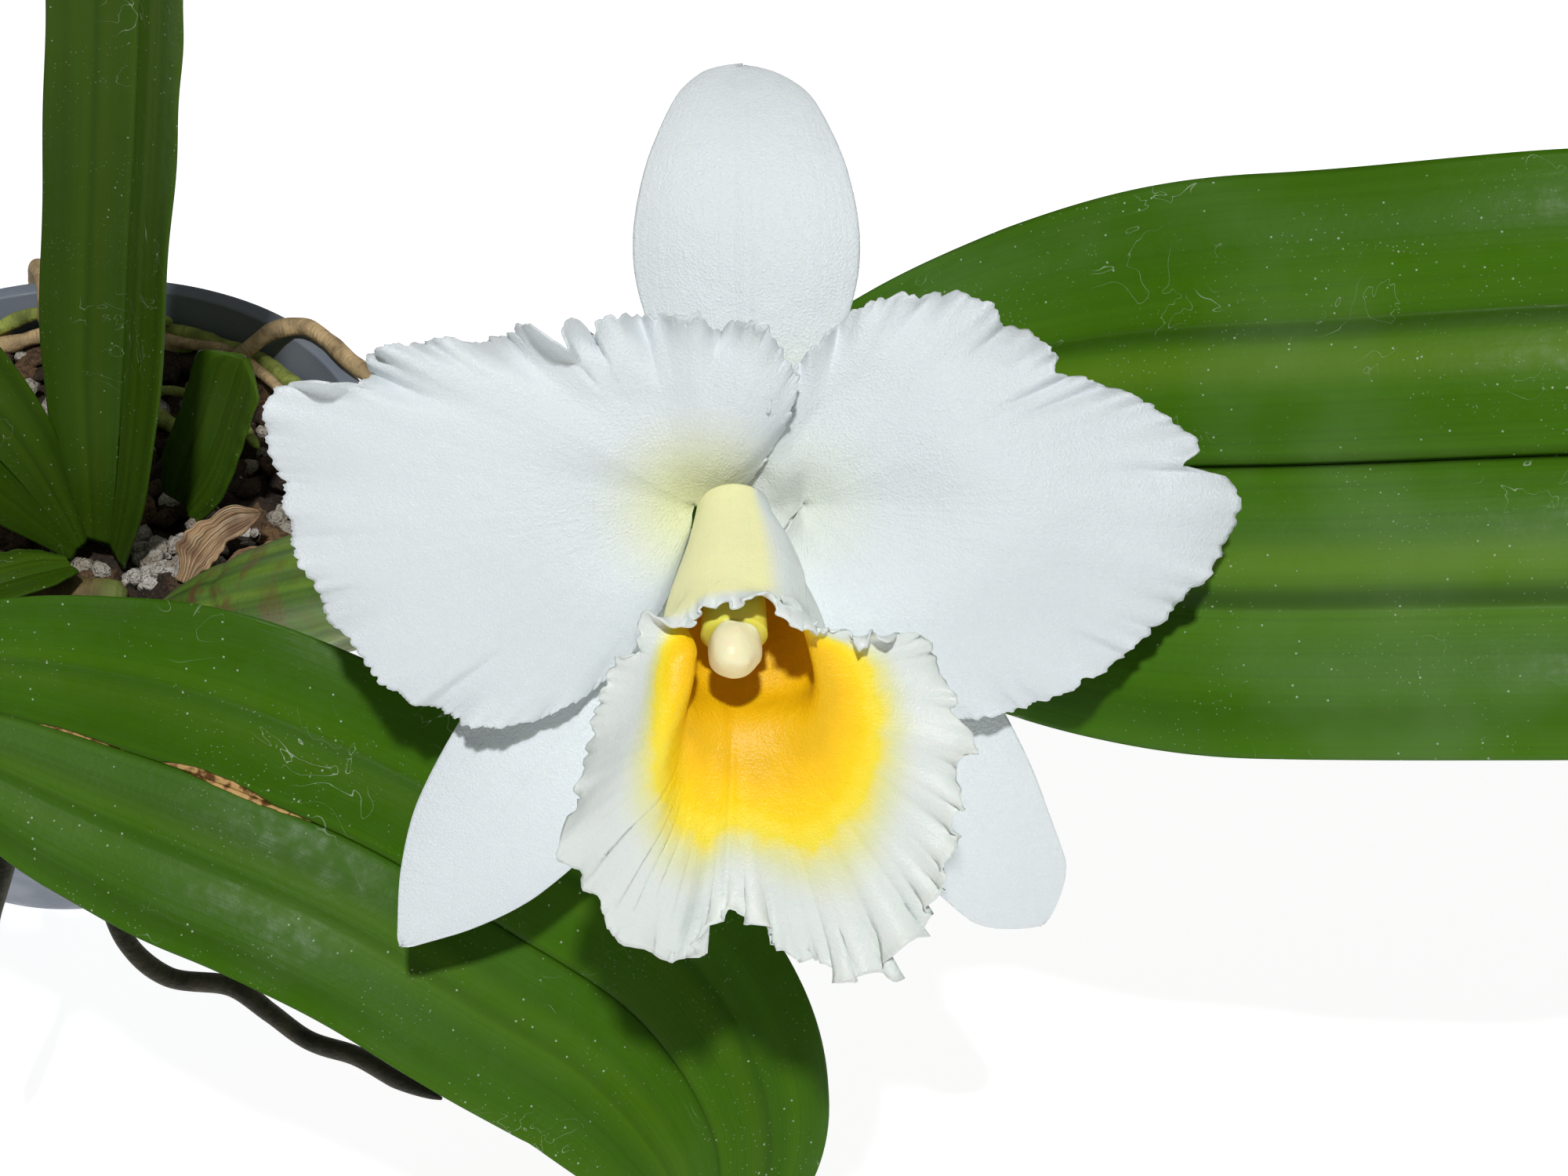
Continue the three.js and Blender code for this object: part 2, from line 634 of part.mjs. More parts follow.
// ---------------------------------------------------------------- flower
// In the flower's own group x is to its right, y up its face and z out of its face.
const outOfFace = vec(
  Math.cos(rad(FACE_ELEVATION)) * Math.sin(rad(FACE_TURN)),
  -Math.cos(rad(FACE_ELEVATION)) * Math.cos(rad(FACE_TURN)),
  Math.sin(rad(FACE_ELEVATION)),
);
const upFace = vec(
  -Math.sin(rad(FACE_ELEVATION)) * Math.sin(rad(FACE_TURN)),
  Math.sin(rad(FACE_ELEVATION)) * Math.cos(rad(FACE_TURN)),
  Math.cos(rad(FACE_ELEVATION)),
);
const rightOfFace = vec(0, 0, 0).crossVectors(upFace, outOfFace);
const [flowerAt] = fromTop(BULBS.pseudobulb_flowering, [FLOWER_FROM_BULB]);
const flower = new THREE.Group();
flower.position.set(...flowerAt);
flower.quaternion.setFromRotationMatrix(new THREE.Matrix4().makeBasis(rightOfFace, upFace, outOfFace));
plant.add(flower);

// Sepals: narrow blades. angle is measured from straight up, clockwise as looked at; lift and curl are
// the slopes out of the face at the foot and at the tip.
const SEPALS = {
  dorsal_sepal: { angle: 0, length: 56, width: 29, lift: 4, curl: -58 },
  lateral_sepal_left: { angle: -141, length: 67, width: 25, lift: -4, curl: 6 },
  lateral_sepal_right: { angle: 146, length: 66, width: 25, lift: -6, curl: -30 },
};
const sepalOutline = lineThrough([
  [0, 0.3],
  [0.16, 0.68],
  [0.42, 1],
  [0.66, 0.92],
  [0.88, 0.6],
  [1, 0.22],
]);
const SEPAL_START = RECEPTACLE_RADIUS + 2 * GAP;

function sepalGeometry({ angle, length, width, lift, curl }) {
  const outwards = vec(Math.sin(rad(angle)), Math.cos(rad(angle)), 0);
  const points = [];
  const at = outwards.clone().multiplyScalar(SEPAL_START).setZ(SEPAL_LAYER);
  const steps = 12;
  for (let i = 0; i <= steps; i++) {
    points.push(at.toArray());
    const t = (i + 0.5) / steps;
    const slope = rad(lift + (curl - lift) * t ** 2.2);
    at.addScaledVector(outwards, (Math.cos(slope) * length) / steps);
    at.z += (Math.sin(slope) * length) / steps;
  }
  return blade({
    curve: curveOf(points),
    facing: [0, 0, 1],
    half: (t) => (width / 2) * sepalOutline(t),
    section: (q, t) => -1.4 * q * q * Math.sin(Math.PI * t),
    thick: () => SEPAL_THICKNESS,
    across: 6,
    along: 10,
  });
}
for (const [name, sepal] of Object.entries(SEPALS)) add(name, sepalGeometry(sepal), TEPAL_WHITE, flower);

// Petals: fans of veins from a foot beside the flower's axis. reach gives the length of the vein that
// leaves at each angle, in degrees above the horizontal. layer is how far in front the petal starts.
const PETALS = {
  petal_left: {
    side: -1,
    layer: 1.8,
    fall: 6,
    reach: [
      [-72, 12], [-62, 25], [-50, 36], [-34, 42.5], [-14, 47.5], [2, 52], [14, 55], [23, 48],
      [34, 38], [47, 31], [69, 25.5], [90, 23.5], [110, 23.5], [129, 20.6], [145, 12], [158, 7],
    ],
  },
  petal_right: {
    side: 1,
    layer: -1.2,
    fall: 5,
    reach: [
      [-74, 12], [-62, 31], [-47, 38], [-26, 45.5], [-8, 54], [1, 56], [14, 47], [27, 38],
      [42, 35.5], [66, 29.5], [86, 20], [110, 13], [141, 7],
    ],
  },
};
const PETAL_RISE = 4.5; // how far the middle of a petal bows forwards
const PETAL_FOOT = 2; // the length of the foot where all the veins start
const FULL_VEIN = 40; // the shortest vein that bows forwards fully

// How far a petal's face stands forward, at share t of a vein of this reach that leaves at angle a.
function petalRelief(t, a, reach, fall) {
  const rise = PETAL_RISE * Math.min(reach / FULL_VEIN, 1) * Math.sin(Math.PI * t * 0.8);
  return rise - fall * t ** 2.6 * (0.55 + 0.45 * Math.cos(rad(a * 1.4)));
}

function petalGeometry({ side, layer, fall, reach }) {
  const reachAt = lineThrough(reach);
  const [from, to] = [reach[0][0], reach.at(-1)[0]];
  return shaped(new THREE.BoxGeometry(2, 1, 1, 20, 6, 1), (q, y, face) => {
    const t = clamp01(y + 0.5);
    const share = (q + 1) / 2;
    const a = side > 0 ? to + (from - to) * share : from + (to - from) * share;
    const length = PETAL_FOOT + (reachAt(a) - PETAL_FOOT) * t;
    return vec(
      side * (PETAL_BASE + length * Math.cos(rad(a))),
      length * Math.sin(rad(a)),
      layer + petalRelief(t, a, reachAt(a), fall) + face * PETAL_THICKNESS,
    );
  });
}
for (const [name, petal] of Object.entries(PETALS)) add(name, petalGeometry(petal), TEPAL_WHITE, flower);

// Lip: a tube round the column that opens into a broad two-lobed limb. In its group z runs out along the
// tube, y up and x right; turn is the angle round the tube from straight down, positive to the right.
const lip = new THREE.Group();
lip.position.set(...LIP_START);
lip.rotation.x = rad(LIP_TILT);
flower.add(lip);

// The limb's edge: how far along the tube and how far from its middle it lies at each turn.
const LIMB_EDGE = [
  [-180, 23, 9.1],
  [-126, 24, 10.3],
  [-90, 25, 13.5],
  [-75, 27, 17],
  [-60, 32, 22],
  [-47, 39, 28],
  [-17, 49, 30.5],
  [0, 46, 24.5],
  [30, 50, 34],
  [54, 40, 31.5],
  [68, 33, 29],
  [90, 24.5, 24],
  [110, 24, 12.5],
  [135, 24.5, 9],
  [180, 23, 9.1],
];
const limbAlong = lineThrough(LIMB_EDGE.map(([turn, along]) => [turn, along]));
const limbReach = lineThrough(LIMB_EDGE.map(([turn, , reach]) => [turn, reach]));
const LIP_TUBE = { hood: 19, floor: 31, hoodRadius: 7.6, floorRadius: 9.4 };

// Where the lip's face is, t of the way from its foot to its edge.
function lipCurve(turn) {
  const low = smooth(150, 40, Math.abs(turn)); // 1 on the floor, 0 on the hood
  const tube = LIP_TUBE.hood + (LIP_TUBE.floor - LIP_TUBE.hood) * low;
  const mouth = LIP_TUBE.hoodRadius + (LIP_TUBE.floorRadius - LIP_TUBE.hoodRadius) * low;
  const stations = [
    [0, LIP_BASE_RADIUS],
    [tube * 0.35, LIP_BASE_RADIUS + 0.4 * (mouth - LIP_BASE_RADIUS)],
    [tube * 0.7, LIP_BASE_RADIUS + 0.8 * (mouth - LIP_BASE_RADIUS)],
    [tube, mouth],
    [limbAlong(turn), limbReach(turn)],
  ];
  return new THREE.SplineCurve(stations.map(([z, r]) => new THREE.Vector2(z, r)));
}

const LIP_SEAM = 152; // where the two edges of the tube meet, in degrees to the right from straight down
const LIP_SEAM_GAP = 8; // degrees left open between them
const wrapped = (turn) => (turn < -180 ? turn + 360 : turn);
const lipGeometry = shaped(new THREE.BoxGeometry(2, 1, 1, 28, 8, 1), (q, y, face) => {
  const t = clamp01(y + 0.5);
  const turn = LIP_SEAM - LIP_SEAM_GAP / 2 - ((q + 1) / 2) * (360 - LIP_SEAM_GAP);
  const curve = lipCurve(wrapped(turn));
  const at = curve.getPoint(t);
  const slope = curve.getTangent(t);
  const radial = at.y - face * LIP_THICKNESS * slope.x;
  const along = at.x + face * LIP_THICKNESS * slope.y;
  return vec(radial * Math.sin(rad(turn)), -radial * Math.cos(rad(turn)), along);
});
add("lip", lipGeometry, LIP_WHITE, lip);

// Column: a rod along the roof of the tube, with the anther cap on its end.
const COLUMN_RISE = 1.6;
const columnCurve = curveOf([
  [0, 0.4, 0.6],
  [0, COLUMN_RISE, COLUMN_LENGTH / 2],
  [0, COLUMN_RISE, COLUMN_LENGTH],
]);
add("column", rod(columnCurve, (t) => COLUMN_RADIUS * (0.95 + 0.25 * t), BULB_SIDES, 5), COLUMN_CREAM, lip);
const ANTHER_START = COLUMN_LENGTH + 3 * GAP;
const antherCurve = curveOf([
  [0, COLUMN_RISE, ANTHER_START],
  [0, COLUMN_RISE - 0.3, ANTHER_START + ANTHER_LENGTH / 2],
  [0, COLUMN_RISE - 1.2, ANTHER_START + ANTHER_LENGTH],
]);
const antherRadius = (t) => COLUMN_RADIUS * 1.2 * Math.sqrt(Math.max(1 - t ** 3, 0.04));
add("anther_cap", rod(antherCurve, antherRadius, BULB_SIDES, 4), COLUMN_CREAM, lip);

// Stalk: from the front of the bulb's end, behind the flower, into the back of its centre.
const behindFlower = (distance) => vec(...flowerAt).addScaledVector(outOfFace, -distance).toArray();
const STALK_SIDE_STEP = 1.7; // before the middle of the bulb's end
const stalkPath = [
  ...endOf(BULBS.pseudobulb_flowering, STALK_SIDE_STEP),
  ...fromTop(BULBS.pseudobulb_flowering, [[8, -9, 16], [14, -20, 26]]),
  behindFlower(12),
  behindFlower(RECEPTACLE_FRONT),
];
const stalkRadius = (t) =>
  STALK_RADIUS * (0.8 + 0.6 * t) + (RECEPTACLE_RADIUS - 1.4 * STALK_RADIUS) * smooth(0.9, 1, t);
add("flower_stalk", rod(curveOf(stalkPath), stalkRadius, BULB_SIDES, 16), STALK_GREEN, plant);

// Spathe: the folded green sheath that the flower stalk came out of.
const SPATHE = {
  path: fromTop(BULBS.pseudobulb_flowering, [[-4, -4.5, 4], [-3, -6, 10], [2, -8, 20], [6, -9, 30]]),
  facing: [0.75, -0.5, 0.2],
  facingTip: [0.75, -0.5, 0.2],
  width: 13,
  foot: 0.4,
  full: 0.4,
  closing: 0.5,
  fold: 0.5,
  pleat: 0,
  ...SMALL_BLADE,
};
add("spathe", leafGeometry(SPATHE), STALK_GREEN, plant);

export default root;
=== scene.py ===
"""A cattleya-type orchid in flower in a plastic pot, modelled finely round its packed solids."""

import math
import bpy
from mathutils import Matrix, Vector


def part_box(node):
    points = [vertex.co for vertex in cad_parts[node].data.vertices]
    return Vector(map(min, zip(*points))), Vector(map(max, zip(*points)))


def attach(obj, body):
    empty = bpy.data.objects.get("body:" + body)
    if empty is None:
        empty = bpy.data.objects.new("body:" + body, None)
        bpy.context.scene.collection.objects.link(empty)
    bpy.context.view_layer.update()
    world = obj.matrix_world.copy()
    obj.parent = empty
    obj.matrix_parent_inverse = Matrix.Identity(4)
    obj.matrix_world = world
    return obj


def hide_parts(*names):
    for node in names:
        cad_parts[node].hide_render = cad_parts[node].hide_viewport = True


bl_info = {
    "name": "Potted Orchid",
    "version": (1, 0, 0),
    "blender": (4, 5, 0),
    "location": "3D View > Sidebar > Orchid",
    "description": "Builds a potted orchid in flower, one piece or group of pieces at a time",
    "category": "Add Mesh",
}

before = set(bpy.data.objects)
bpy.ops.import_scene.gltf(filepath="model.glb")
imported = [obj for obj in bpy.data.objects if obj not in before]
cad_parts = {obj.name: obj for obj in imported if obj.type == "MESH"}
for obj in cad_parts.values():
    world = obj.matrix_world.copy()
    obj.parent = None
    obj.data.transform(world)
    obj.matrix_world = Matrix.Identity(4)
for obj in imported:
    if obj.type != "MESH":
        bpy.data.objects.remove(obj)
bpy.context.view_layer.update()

import bpy
import numpy as np
from bpy.props import FloatProperty, FloatVectorProperty, IntProperty, PointerProperty
from mathutils import Vector

MM = 0.001  # shapes are worked out in millimetres

# ---------------------------------------------------------------- curves and surfaces


def smooth(low, high, x):
    """0 below low, 1 above high, and an S between them."""
    t = np.clip((x - low) / (high - low), 0, 1)
    return t * t * (3 - 2 * t)


def bump_at(x, centre, width):
    """A bell: 1 at centre, falling away over width to both sides."""
    return np.exp(-(((x - centre) / width) ** 2))


def unit(v):
    """Vectors of length 1 in the same directions."""
    return v / np.maximum(np.linalg.norm(v, axis=-1, keepdims=True), 1e-9)


def point(x, y, z):
    """Points from their three coordinates, each an array or a number."""
    return np.stack(np.broadcast_arrays(x, y, z), axis=-1).astype(float)


def wander(x, y, seed, octaves=2):
    """A smooth irregular height over x and y, about -1 to 1: four sine waves that cross in random
    directions, with each further octave twice as fine and half as high."""
    rng = np.random.default_rng(seed)
    height = 0.0
    for octave in range(octaves):
        turns, phases = rng.uniform(0, 2 * math.pi, (2, 4))
        for turn, phase in zip(turns, phases):
            ahead = (x * math.cos(turn) + y * math.sin(turn)) * 2**octave
            height = height + 0.5 ** (octave + 1.4) * np.sin(ahead + phase)
    return height


def cubic(b, c, start, end, t):
    """The cubic from b to c whose slopes there are start and end, at the shares t of the way."""
    return (2 * b - 2 * c + start + end) * t**3 + (3 * c - 3 * b - 2 * start - end) * t**2 + start * t + b


def run_along(points):
    """The length of a line of points from its first up to each of them."""
    return np.concatenate([[0], np.cumsum(np.linalg.norm(np.diff(points, axis=0), axis=1))])


def round_turn(sides):
    """Evenly spaced angles once round, as a row of numbers."""
    return np.linspace(0, 2 * math.pi, sides, endpoint=False)[None, :]


def rounded(share, steep, start, least=0):
    """Rounds off an end: the square root of the share from that end times steep plus start, from least
    up to 1."""
    return np.sqrt(np.clip(share * steep + start, least, 1))


def through(points, count):
    """count points, evenly spaced along the centripetal Catmull-Rom curve through the given ones: each
    span is a cubic whose end slopes come from the square roots of the distances round it."""
    p = np.array(points, float)
    p = np.vstack([2 * p[0] - p[1], p, 2 * p[-1] - p[-2]])
    gaps = np.maximum(np.linalg.norm(np.diff(p, axis=0), axis=1) ** 0.5, 1e-4)[:, None]
    a, b, c, d = p[:-3], p[1:-2], p[2:-1], p[3:]
    before, here, after = gaps[:-2], gaps[1:-1], gaps[2:]
    start = ((b - a) / before - (c - a) / (before + here) + (c - b) / here) * here
    end = ((c - b) / here - (d - b) / (here + after) + (d - c) / after) * here
    t = np.linspace(0, 1, 60)[:, None, None]
    dense = cubic(b, c, start, end, t).transpose(1, 0, 2).reshape(-1, 3)
    run = run_along(dense)
    at = np.linspace(0, run[-1], count)
    return np.stack([np.interp(at, run, dense[:, k]) for k in range(3)], axis=1)


def line_through(table):
    """A function that reads a smooth line through a table of (x, value) rows, at any x: a uniform
    Catmull-Rom curve, whose end slopes are half the step between the neighbours."""
    p = np.array(table, float)
    p = np.vstack([p[0], p, p[-1]])
    a, b, c, d = p[:-3], p[1:-2], p[2:-1], p[3:]
    t = np.linspace(0, 1, 24)[:, None, None]
    start, end = (c - a) / 2, (d - b) / 2
    x, value = cubic(b, c, start, end, t).transpose(1, 0, 2).reshape(-1, 2).T
    return lambda at: np.interp(at, x, value)


def polar(angle, radius, z):
    """A point at an angle in degrees round the pot, a radius and a height."""
    return [radius * math.cos(math.radians(angle)), radius * math.sin(math.radians(angle)), z]


def rows_and_columns(rows, columns):
    """The share along for each row, as a column of numbers, and the place across from -1 to 1 for each
    column, as a row of numbers."""
    return np.linspace(0, 1, rows)[:, None], np.linspace(-1, 1, columns)[None, :]


def blade(path, facing, facing_tip, half, rise, columns):
    """The middle surface of a blade: the path's point, plus the place across times the half width
    sideways, plus the rise along the blade's own up direction. half is a function of the share along,
    and rise of the place across and the share along."""
    t, q = rows_and_columns(len(path), columns)
    ahead = unit(np.gradient(path, axis=0))
    up = np.array(facing) + (np.array(facing_tip) - np.array(facing)) * t
    sideways = unit(np.cross(ahead, up))
    up = np.cross(sideways, ahead)
    across = (q * half(t))[..., None] * sideways[:, None, :]
    return path[:, None, :] + across + rise(q, t)[..., None] * up[:, None, :]


def facing_of(surface):
    """The unit normal at every point of a grid of points: the cross product of the step across and the
    step along."""
    return unit(np.cross(np.gradient(surface, axis=1), np.gradient(surface, axis=0)))


def rod(path, radius, sides):
    """Rings round a path: each point is the path's point plus the radius along a direction that turns
    round the path. radius is an array with one row for each point of the path. The direction starts in
    the plane that fits the path best, so the rings don't twist."""
    ahead = unit(np.gradient(path, axis=0))
    flat = np.linalg.svd(path - path.mean(axis=0))[2][2]
    side = unit(np.cross(flat, ahead))
    up = np.cross(ahead, side)
    turn = round_turn(sides)[..., None]
    around = np.cos(turn) * side[:, None, :] + np.sin(turn) * up[:, None, :]
    return path[:, None, :] + around * np.broadcast_to(radius, (len(path), sides))[..., None]


def turned(profile, sides):
    """Rings of a profile of (radius, height) rows carried round the upright axis."""
    r, z = np.array(profile, float).T[:, :, None]
    turn = round_turn(sides)
    return point(r * np.cos(turn), r * np.sin(turn), z)


# ---------------------------------------------------------------- meshes


def new_mesh(name, vertices, faces, uv, values):
    """A mesh object of points in millimetres. faces are arrays of corner numbers and uv holds one
    (across, along) pair per corner. values are named numbers, one for each vertex."""
    mesh = bpy.data.meshes.new(name)
    mesh.vertices.add(len(vertices))
    mesh.vertices.foreach_set("co", (vertices * MM).astype(np.float32).ravel())
    corners = np.concatenate([f.ravel() for f in faces])
    sizes = np.concatenate([np.full(len(f), f.shape[1]) for f in faces])
    mesh.loops.add(len(corners))
    mesh.loops.foreach_set("vertex_index", corners.astype(np.int32))
    mesh.polygons.add(len(sizes))
    starts = np.concatenate([[0], np.cumsum(sizes)[:-1]])
    mesh.polygons.foreach_set("loop_start", starts.astype(np.int32))
    mesh.polygons.foreach_set("use_smooth", np.ones(len(sizes), bool))
    mesh.uv_layers.new(name="surface").data.foreach_set("uv", uv.astype(np.float32).ravel())
    for key, value in values.items():
        attribute = mesh.attributes.new(key, "FLOAT", "POINT")
        attribute.data.foreach_set("value", value.astype(np.float32).ravel())
    mesh.update(calc_edges=True)
    mesh.validate()
    made = bpy.data.objects.new(name, mesh)
    bpy.context.scene.collection.objects.link(made)
    return made


def sheet(name, middle, thickness, **values):
    """A closed thin sheet: its face and back lie half the thickness to each side of the middle surface,
    and a rim joins them. values are grids like the middle's."""
    rows, columns = middle.shape[:2]
    off = facing_of(middle) * np.broadcast_to(thickness, (rows, columns))[..., None] / 2
    n = np.arange(rows * columns).reshape(rows, columns)
    face = np.stack([n[:-1, :-1], n[:-1, 1:], n[1:, 1:], n[1:, :-1]], axis=-1).reshape(-1, 4)
    edge = np.concatenate([n[0, :-1], n[:-1, -1], n[-1, :0:-1], n[:0:-1, 0]])
    after = np.roll(edge, -1)
    rim = np.stack([after, edge, edge + n.size, after + n.size], axis=-1)
    faces = np.concatenate([face, face[:, ::-1] + n.size, rim])
    along, across = np.meshgrid(np.linspace(0, 1, rows), np.linspace(0, 1, columns), indexing="ij")
    places = np.stack([across.ravel(), along.ravel()], axis=1)
    vertices = np.concatenate([(middle + off).reshape(-1, 3), (middle - off).reshape(-1, 3)])
    both = {key: np.tile(np.broadcast_to(v, (rows, columns)).ravel(), 2) for key, v in values.items()}
    both["face"] = np.repeat([1.0, 0.0], n.size)
    return new_mesh(name, vertices, [faces], places[faces.ravel() % n.size], both)


def tube(name, rings, **values):
    """A closed tube through rings of points, with a fan of triangles at each end."""
    count, sides = rings.shape[:2]
    n = np.arange(count * sides).reshape(count, sides)
    after = np.roll(n, -1, axis=1)
    wall = np.stack([n[:-1], after[:-1], after[1:], n[1:]], axis=-1).reshape(-1, 4)
    foot, tip = np.full(sides, n.size), np.full(sides, n.size + 1)
    ends = np.concatenate([np.stack([after[0], n[0], foot], 1), np.stack([n[-1], after[-1], tip], 1)])
    vertices = np.concatenate([rings.reshape(-1, 3), rings[[0, -1]].mean(axis=1)])
    j, i = np.meshgrid(np.arange(sides), np.arange(count - 1))
    corner_u = np.stack([j, j + 1, j + 1, j], axis=-1).ravel() / sides
    corner_v = np.stack([i, i, i + 1, i + 1], axis=-1).ravel() / (count - 1)
    fan = np.repeat([0.0, 1.0], 3 * sides)
    uv = np.concatenate([np.stack([corner_u, corner_v], 1), np.stack([np.full(len(fan), 0.5), fan], 1)])
    full = {}
    for key, v in values.items():
        grid = np.broadcast_to(v, (count, sides))
        full[key] = np.concatenate([grid.ravel(), [grid[0].mean(), grid[-1].mean()]])
    return new_mesh(name, vertices, [wall, ends], uv, full)


def scattered(name, template, faces, sizes, turns, places, roughen, seed):
    """Many small lumps in one mesh: the template's points, roughened at random, times each lump's size,
    turned by its three angles and moved to its place. Each lump has its own tone from 0 to 1."""
    rng = np.random.default_rng(seed)
    count, corners = len(places), len(template)
    points = template[None] * (1 + roughen * rng.uniform(-1, 1, (count, corners, 1)))
    points = points * sizes[:, None, :]
    for axis, angle in enumerate(turns.T):
        a, b = [(1, 2), (2, 0), (0, 1)][axis]
        c, s = np.cos(angle)[:, None], np.sin(angle)[:, None]
        u, v = points[..., a].copy(), points[..., b].copy()
        points[..., a], points[..., b] = c * u - s * v, s * u + c * v
    points = points + places[:, None, :]
    every = (faces[None] + np.arange(count)[:, None, None] * corners).reshape(-1, faces.shape[1])
    tone = np.repeat(rng.uniform(0, 1, count), corners)
    return new_mesh(name, points.reshape(-1, 3), [every], np.zeros((every.size, 2)), {"tone": tone})


def lump(rings, sides, square):
    """The points and triangles of a small closed lump: a ball whose radius is drawn out towards the
    corners of a box as square goes from 0 to 1."""
    up = np.linspace(0, math.pi, rings + 2)[1:-1, None]
    turn = round_turn(sides)
    ball = point(np.sin(up) * np.cos(turn), np.sin(up) * np.sin(turn), -np.cos(up)).reshape(-1, 3)
    ball = np.vstack([ball, [0, 0, -1], [0, 0, 1]])
    ball = ball * (1 - square + square / np.abs(ball).max(axis=1, keepdims=True))
    n = np.arange(rings * sides).reshape(rings, sides)
    after = np.roll(n, -1, axis=1)
    wall = np.stack([n[:-1], after[:-1], after[1:], n[1:]], axis=-1).reshape(-1, 4)
    wall = np.concatenate([wall[:, [0, 1, 2]], wall[:, [0, 2, 3]]])
    low, high = np.full(sides, n.size), np.full(sides, n.size + 1)
    ends = [np.stack([after[0], n[0], low], 1), np.stack([n[-1], after[-1], high], 1)]
    return ball, np.concatenate([wall, *ends])


def finished(piece, material, slot, *nodes):
    """Gives a piece its material and body, and hides the solids it stands for. The slot is not used."""
    piece.data.materials.append(material)
    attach(piece, "root")
    if nodes:
        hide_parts(*nodes)
    return piece


# ---------------------------------------------------------------- materials


def colour(code):
    """A linear colour from a six-digit code."""
    parts = np.array([int(code[k : k + 2], 16) / 255 for k in (0, 2, 4)])
    linear = np.where(parts <= 0.04045, parts / 12.92, ((parts + 0.055) / 1.055) ** 2.4)
    return tuple(float(v) for v in linear)


class Finish:
    """A new material with short calls that add its nodes. Lengths on the piece are in millimetres."""

    def __init__(self, name, roughness=0.5, **sockets):
        """Starts from the plain shader. sockets are its inputs by name, with _ for each space."""
        self.material = bpy.data.materials.new(name)
        self.material.use_nodes = True
        self.tree = self.material.node_tree
        self.shader = self.tree.nodes["Principled BSDF"]
        self.shader.inputs["Roughness"].default_value = roughness
        for key, value in sockets.items():
            self.shader.inputs[key.replace("_", " ")].default_value = value
        place = self.add("ShaderNodeTexCoord", {})
        in_mm = {0: place.outputs["Object"], 3: 1 / MM}
        self.place = self.add("ShaderNodeVectorMath", in_mm, operation="SCALE").outputs[0]
        split = self.add("ShaderNodeSeparateXYZ", {0: place.outputs["UV"]})
        self.across, self.along = split.outputs[0], split.outputs[1]

    def add(self, kind, inputs, **settings):
        """A new node. Each input is a number, a colour or another node's output."""
        node = self.tree.nodes.new(kind)
        for key, value in settings.items():
            setattr(node, key, value)
        for key, value in inputs.items():
            if isinstance(value, bpy.types.NodeSocket):
                self.tree.links.new(value, node.inputs[key])
            elif isinstance(value, tuple) and len(value) == 3 and node.inputs[key].type == "RGBA":
                node.inputs[key].default_value = (*value, 1.0)
            else:
                node.inputs[key].default_value = value
        return node

    def calc(self, operation, a, b=0.0):
        """One step of arithmetic."""
        return self.add("ShaderNodeMath", {0: a, 1: b}, operation=operation).outputs[0]

    def joined(self, x, y, z=0.0):
        """A vector from three numbers."""
        return self.add("ShaderNodeCombineXYZ", {0: x, 1: y, 2: z}).outputs[0]

    def streaks(self, across, along, seed=0.0):
        """A vector that makes a noise run along the piece: so many changes across it and along it."""
        x, y = self.calc("MULTIPLY", self.across, across), self.calc("MULTIPLY", self.along, along)
        return self.joined(x, y, seed)

    def noise(self, scale, detail=2.0, vector=None, distortion=0.0):
        """A soft noise with this many changes a millimetre, or a unit of the vector."""
        inputs = {"Vector": vector or self.place, "Scale": scale, "Detail": detail, "Distortion": distortion}
        return self.add("ShaderNodeTexNoise", inputs).outputs["Fac"]

    def cells(self, scale):
        """The distance to the nearest of scattered points, this many a millimetre."""
        return self.add("ShaderNodeTexVoronoi", {"Vector": self.place, "Scale": scale}).outputs["Distance"]

    def value(self, name):
        """The piece's own number of this name."""
        return self.add("ShaderNodeAttribute", {}, attribute_name=name).outputs["Fac"]

    def span(self, value, low, high, start=0.0, end=1.0):
        """start where the value is under low, end where it is over high, and an S between them."""
        inputs = {"Value": value, "From Min": low, "From Max": high, "To Min": start, "To Max": end}
        return self.add("ShaderNodeMapRange", inputs, interpolation_type="SMOOTHSTEP").outputs[0]

    def ramp(self, value, *stops):
        """A colour read from stops of (value, colour)."""
        node = self.add("ShaderNodeValToRGB", {0: value})
        while len(node.color_ramp.elements) < len(stops):
            node.color_ramp.elements.new(0.5)
        for element, (at, shade) in zip(node.color_ramp.elements, stops):
            element.position = at
            element.color = (*shade, 1.0)
        return node.outputs[0]

    def mix(self, factor, a, b, blend="MIX"):
        """From colour a to colour b as the factor goes from 0 to 1."""
        node = self.add("ShaderNodeMix", {0: factor, 6: a, 7: b}, data_type="RGBA", blend_type=blend)
        return node.outputs[2]

    def paint(self, shade):
        """Sets the surface's colour."""
        self.tree.links.new(shade, self.shader.inputs["Base Color"])
        return self

    def rough(self, value):
        """Sets how rough the surface is."""
        self.tree.links.new(value, self.shader.inputs["Roughness"])
        return self

    def relief(self, height, depth):
        """Bumps as high as depth, in millimetres, where the height is 1."""
        inputs = {"Height": height, "Distance": depth * MM, "Strength": 1.0}
        previous = self.shader.inputs["Normal"]
        if previous.is_linked:
            inputs["Normal"] = previous.links[0].from_socket
        self.tree.links.new(self.add("ShaderNodeBump", inputs).outputs[0], previous)
        return self


def shaded(base, factor):
    """The same colour, lighter or darker."""
    return tuple(min(c * factor, 1.0) for c in base)


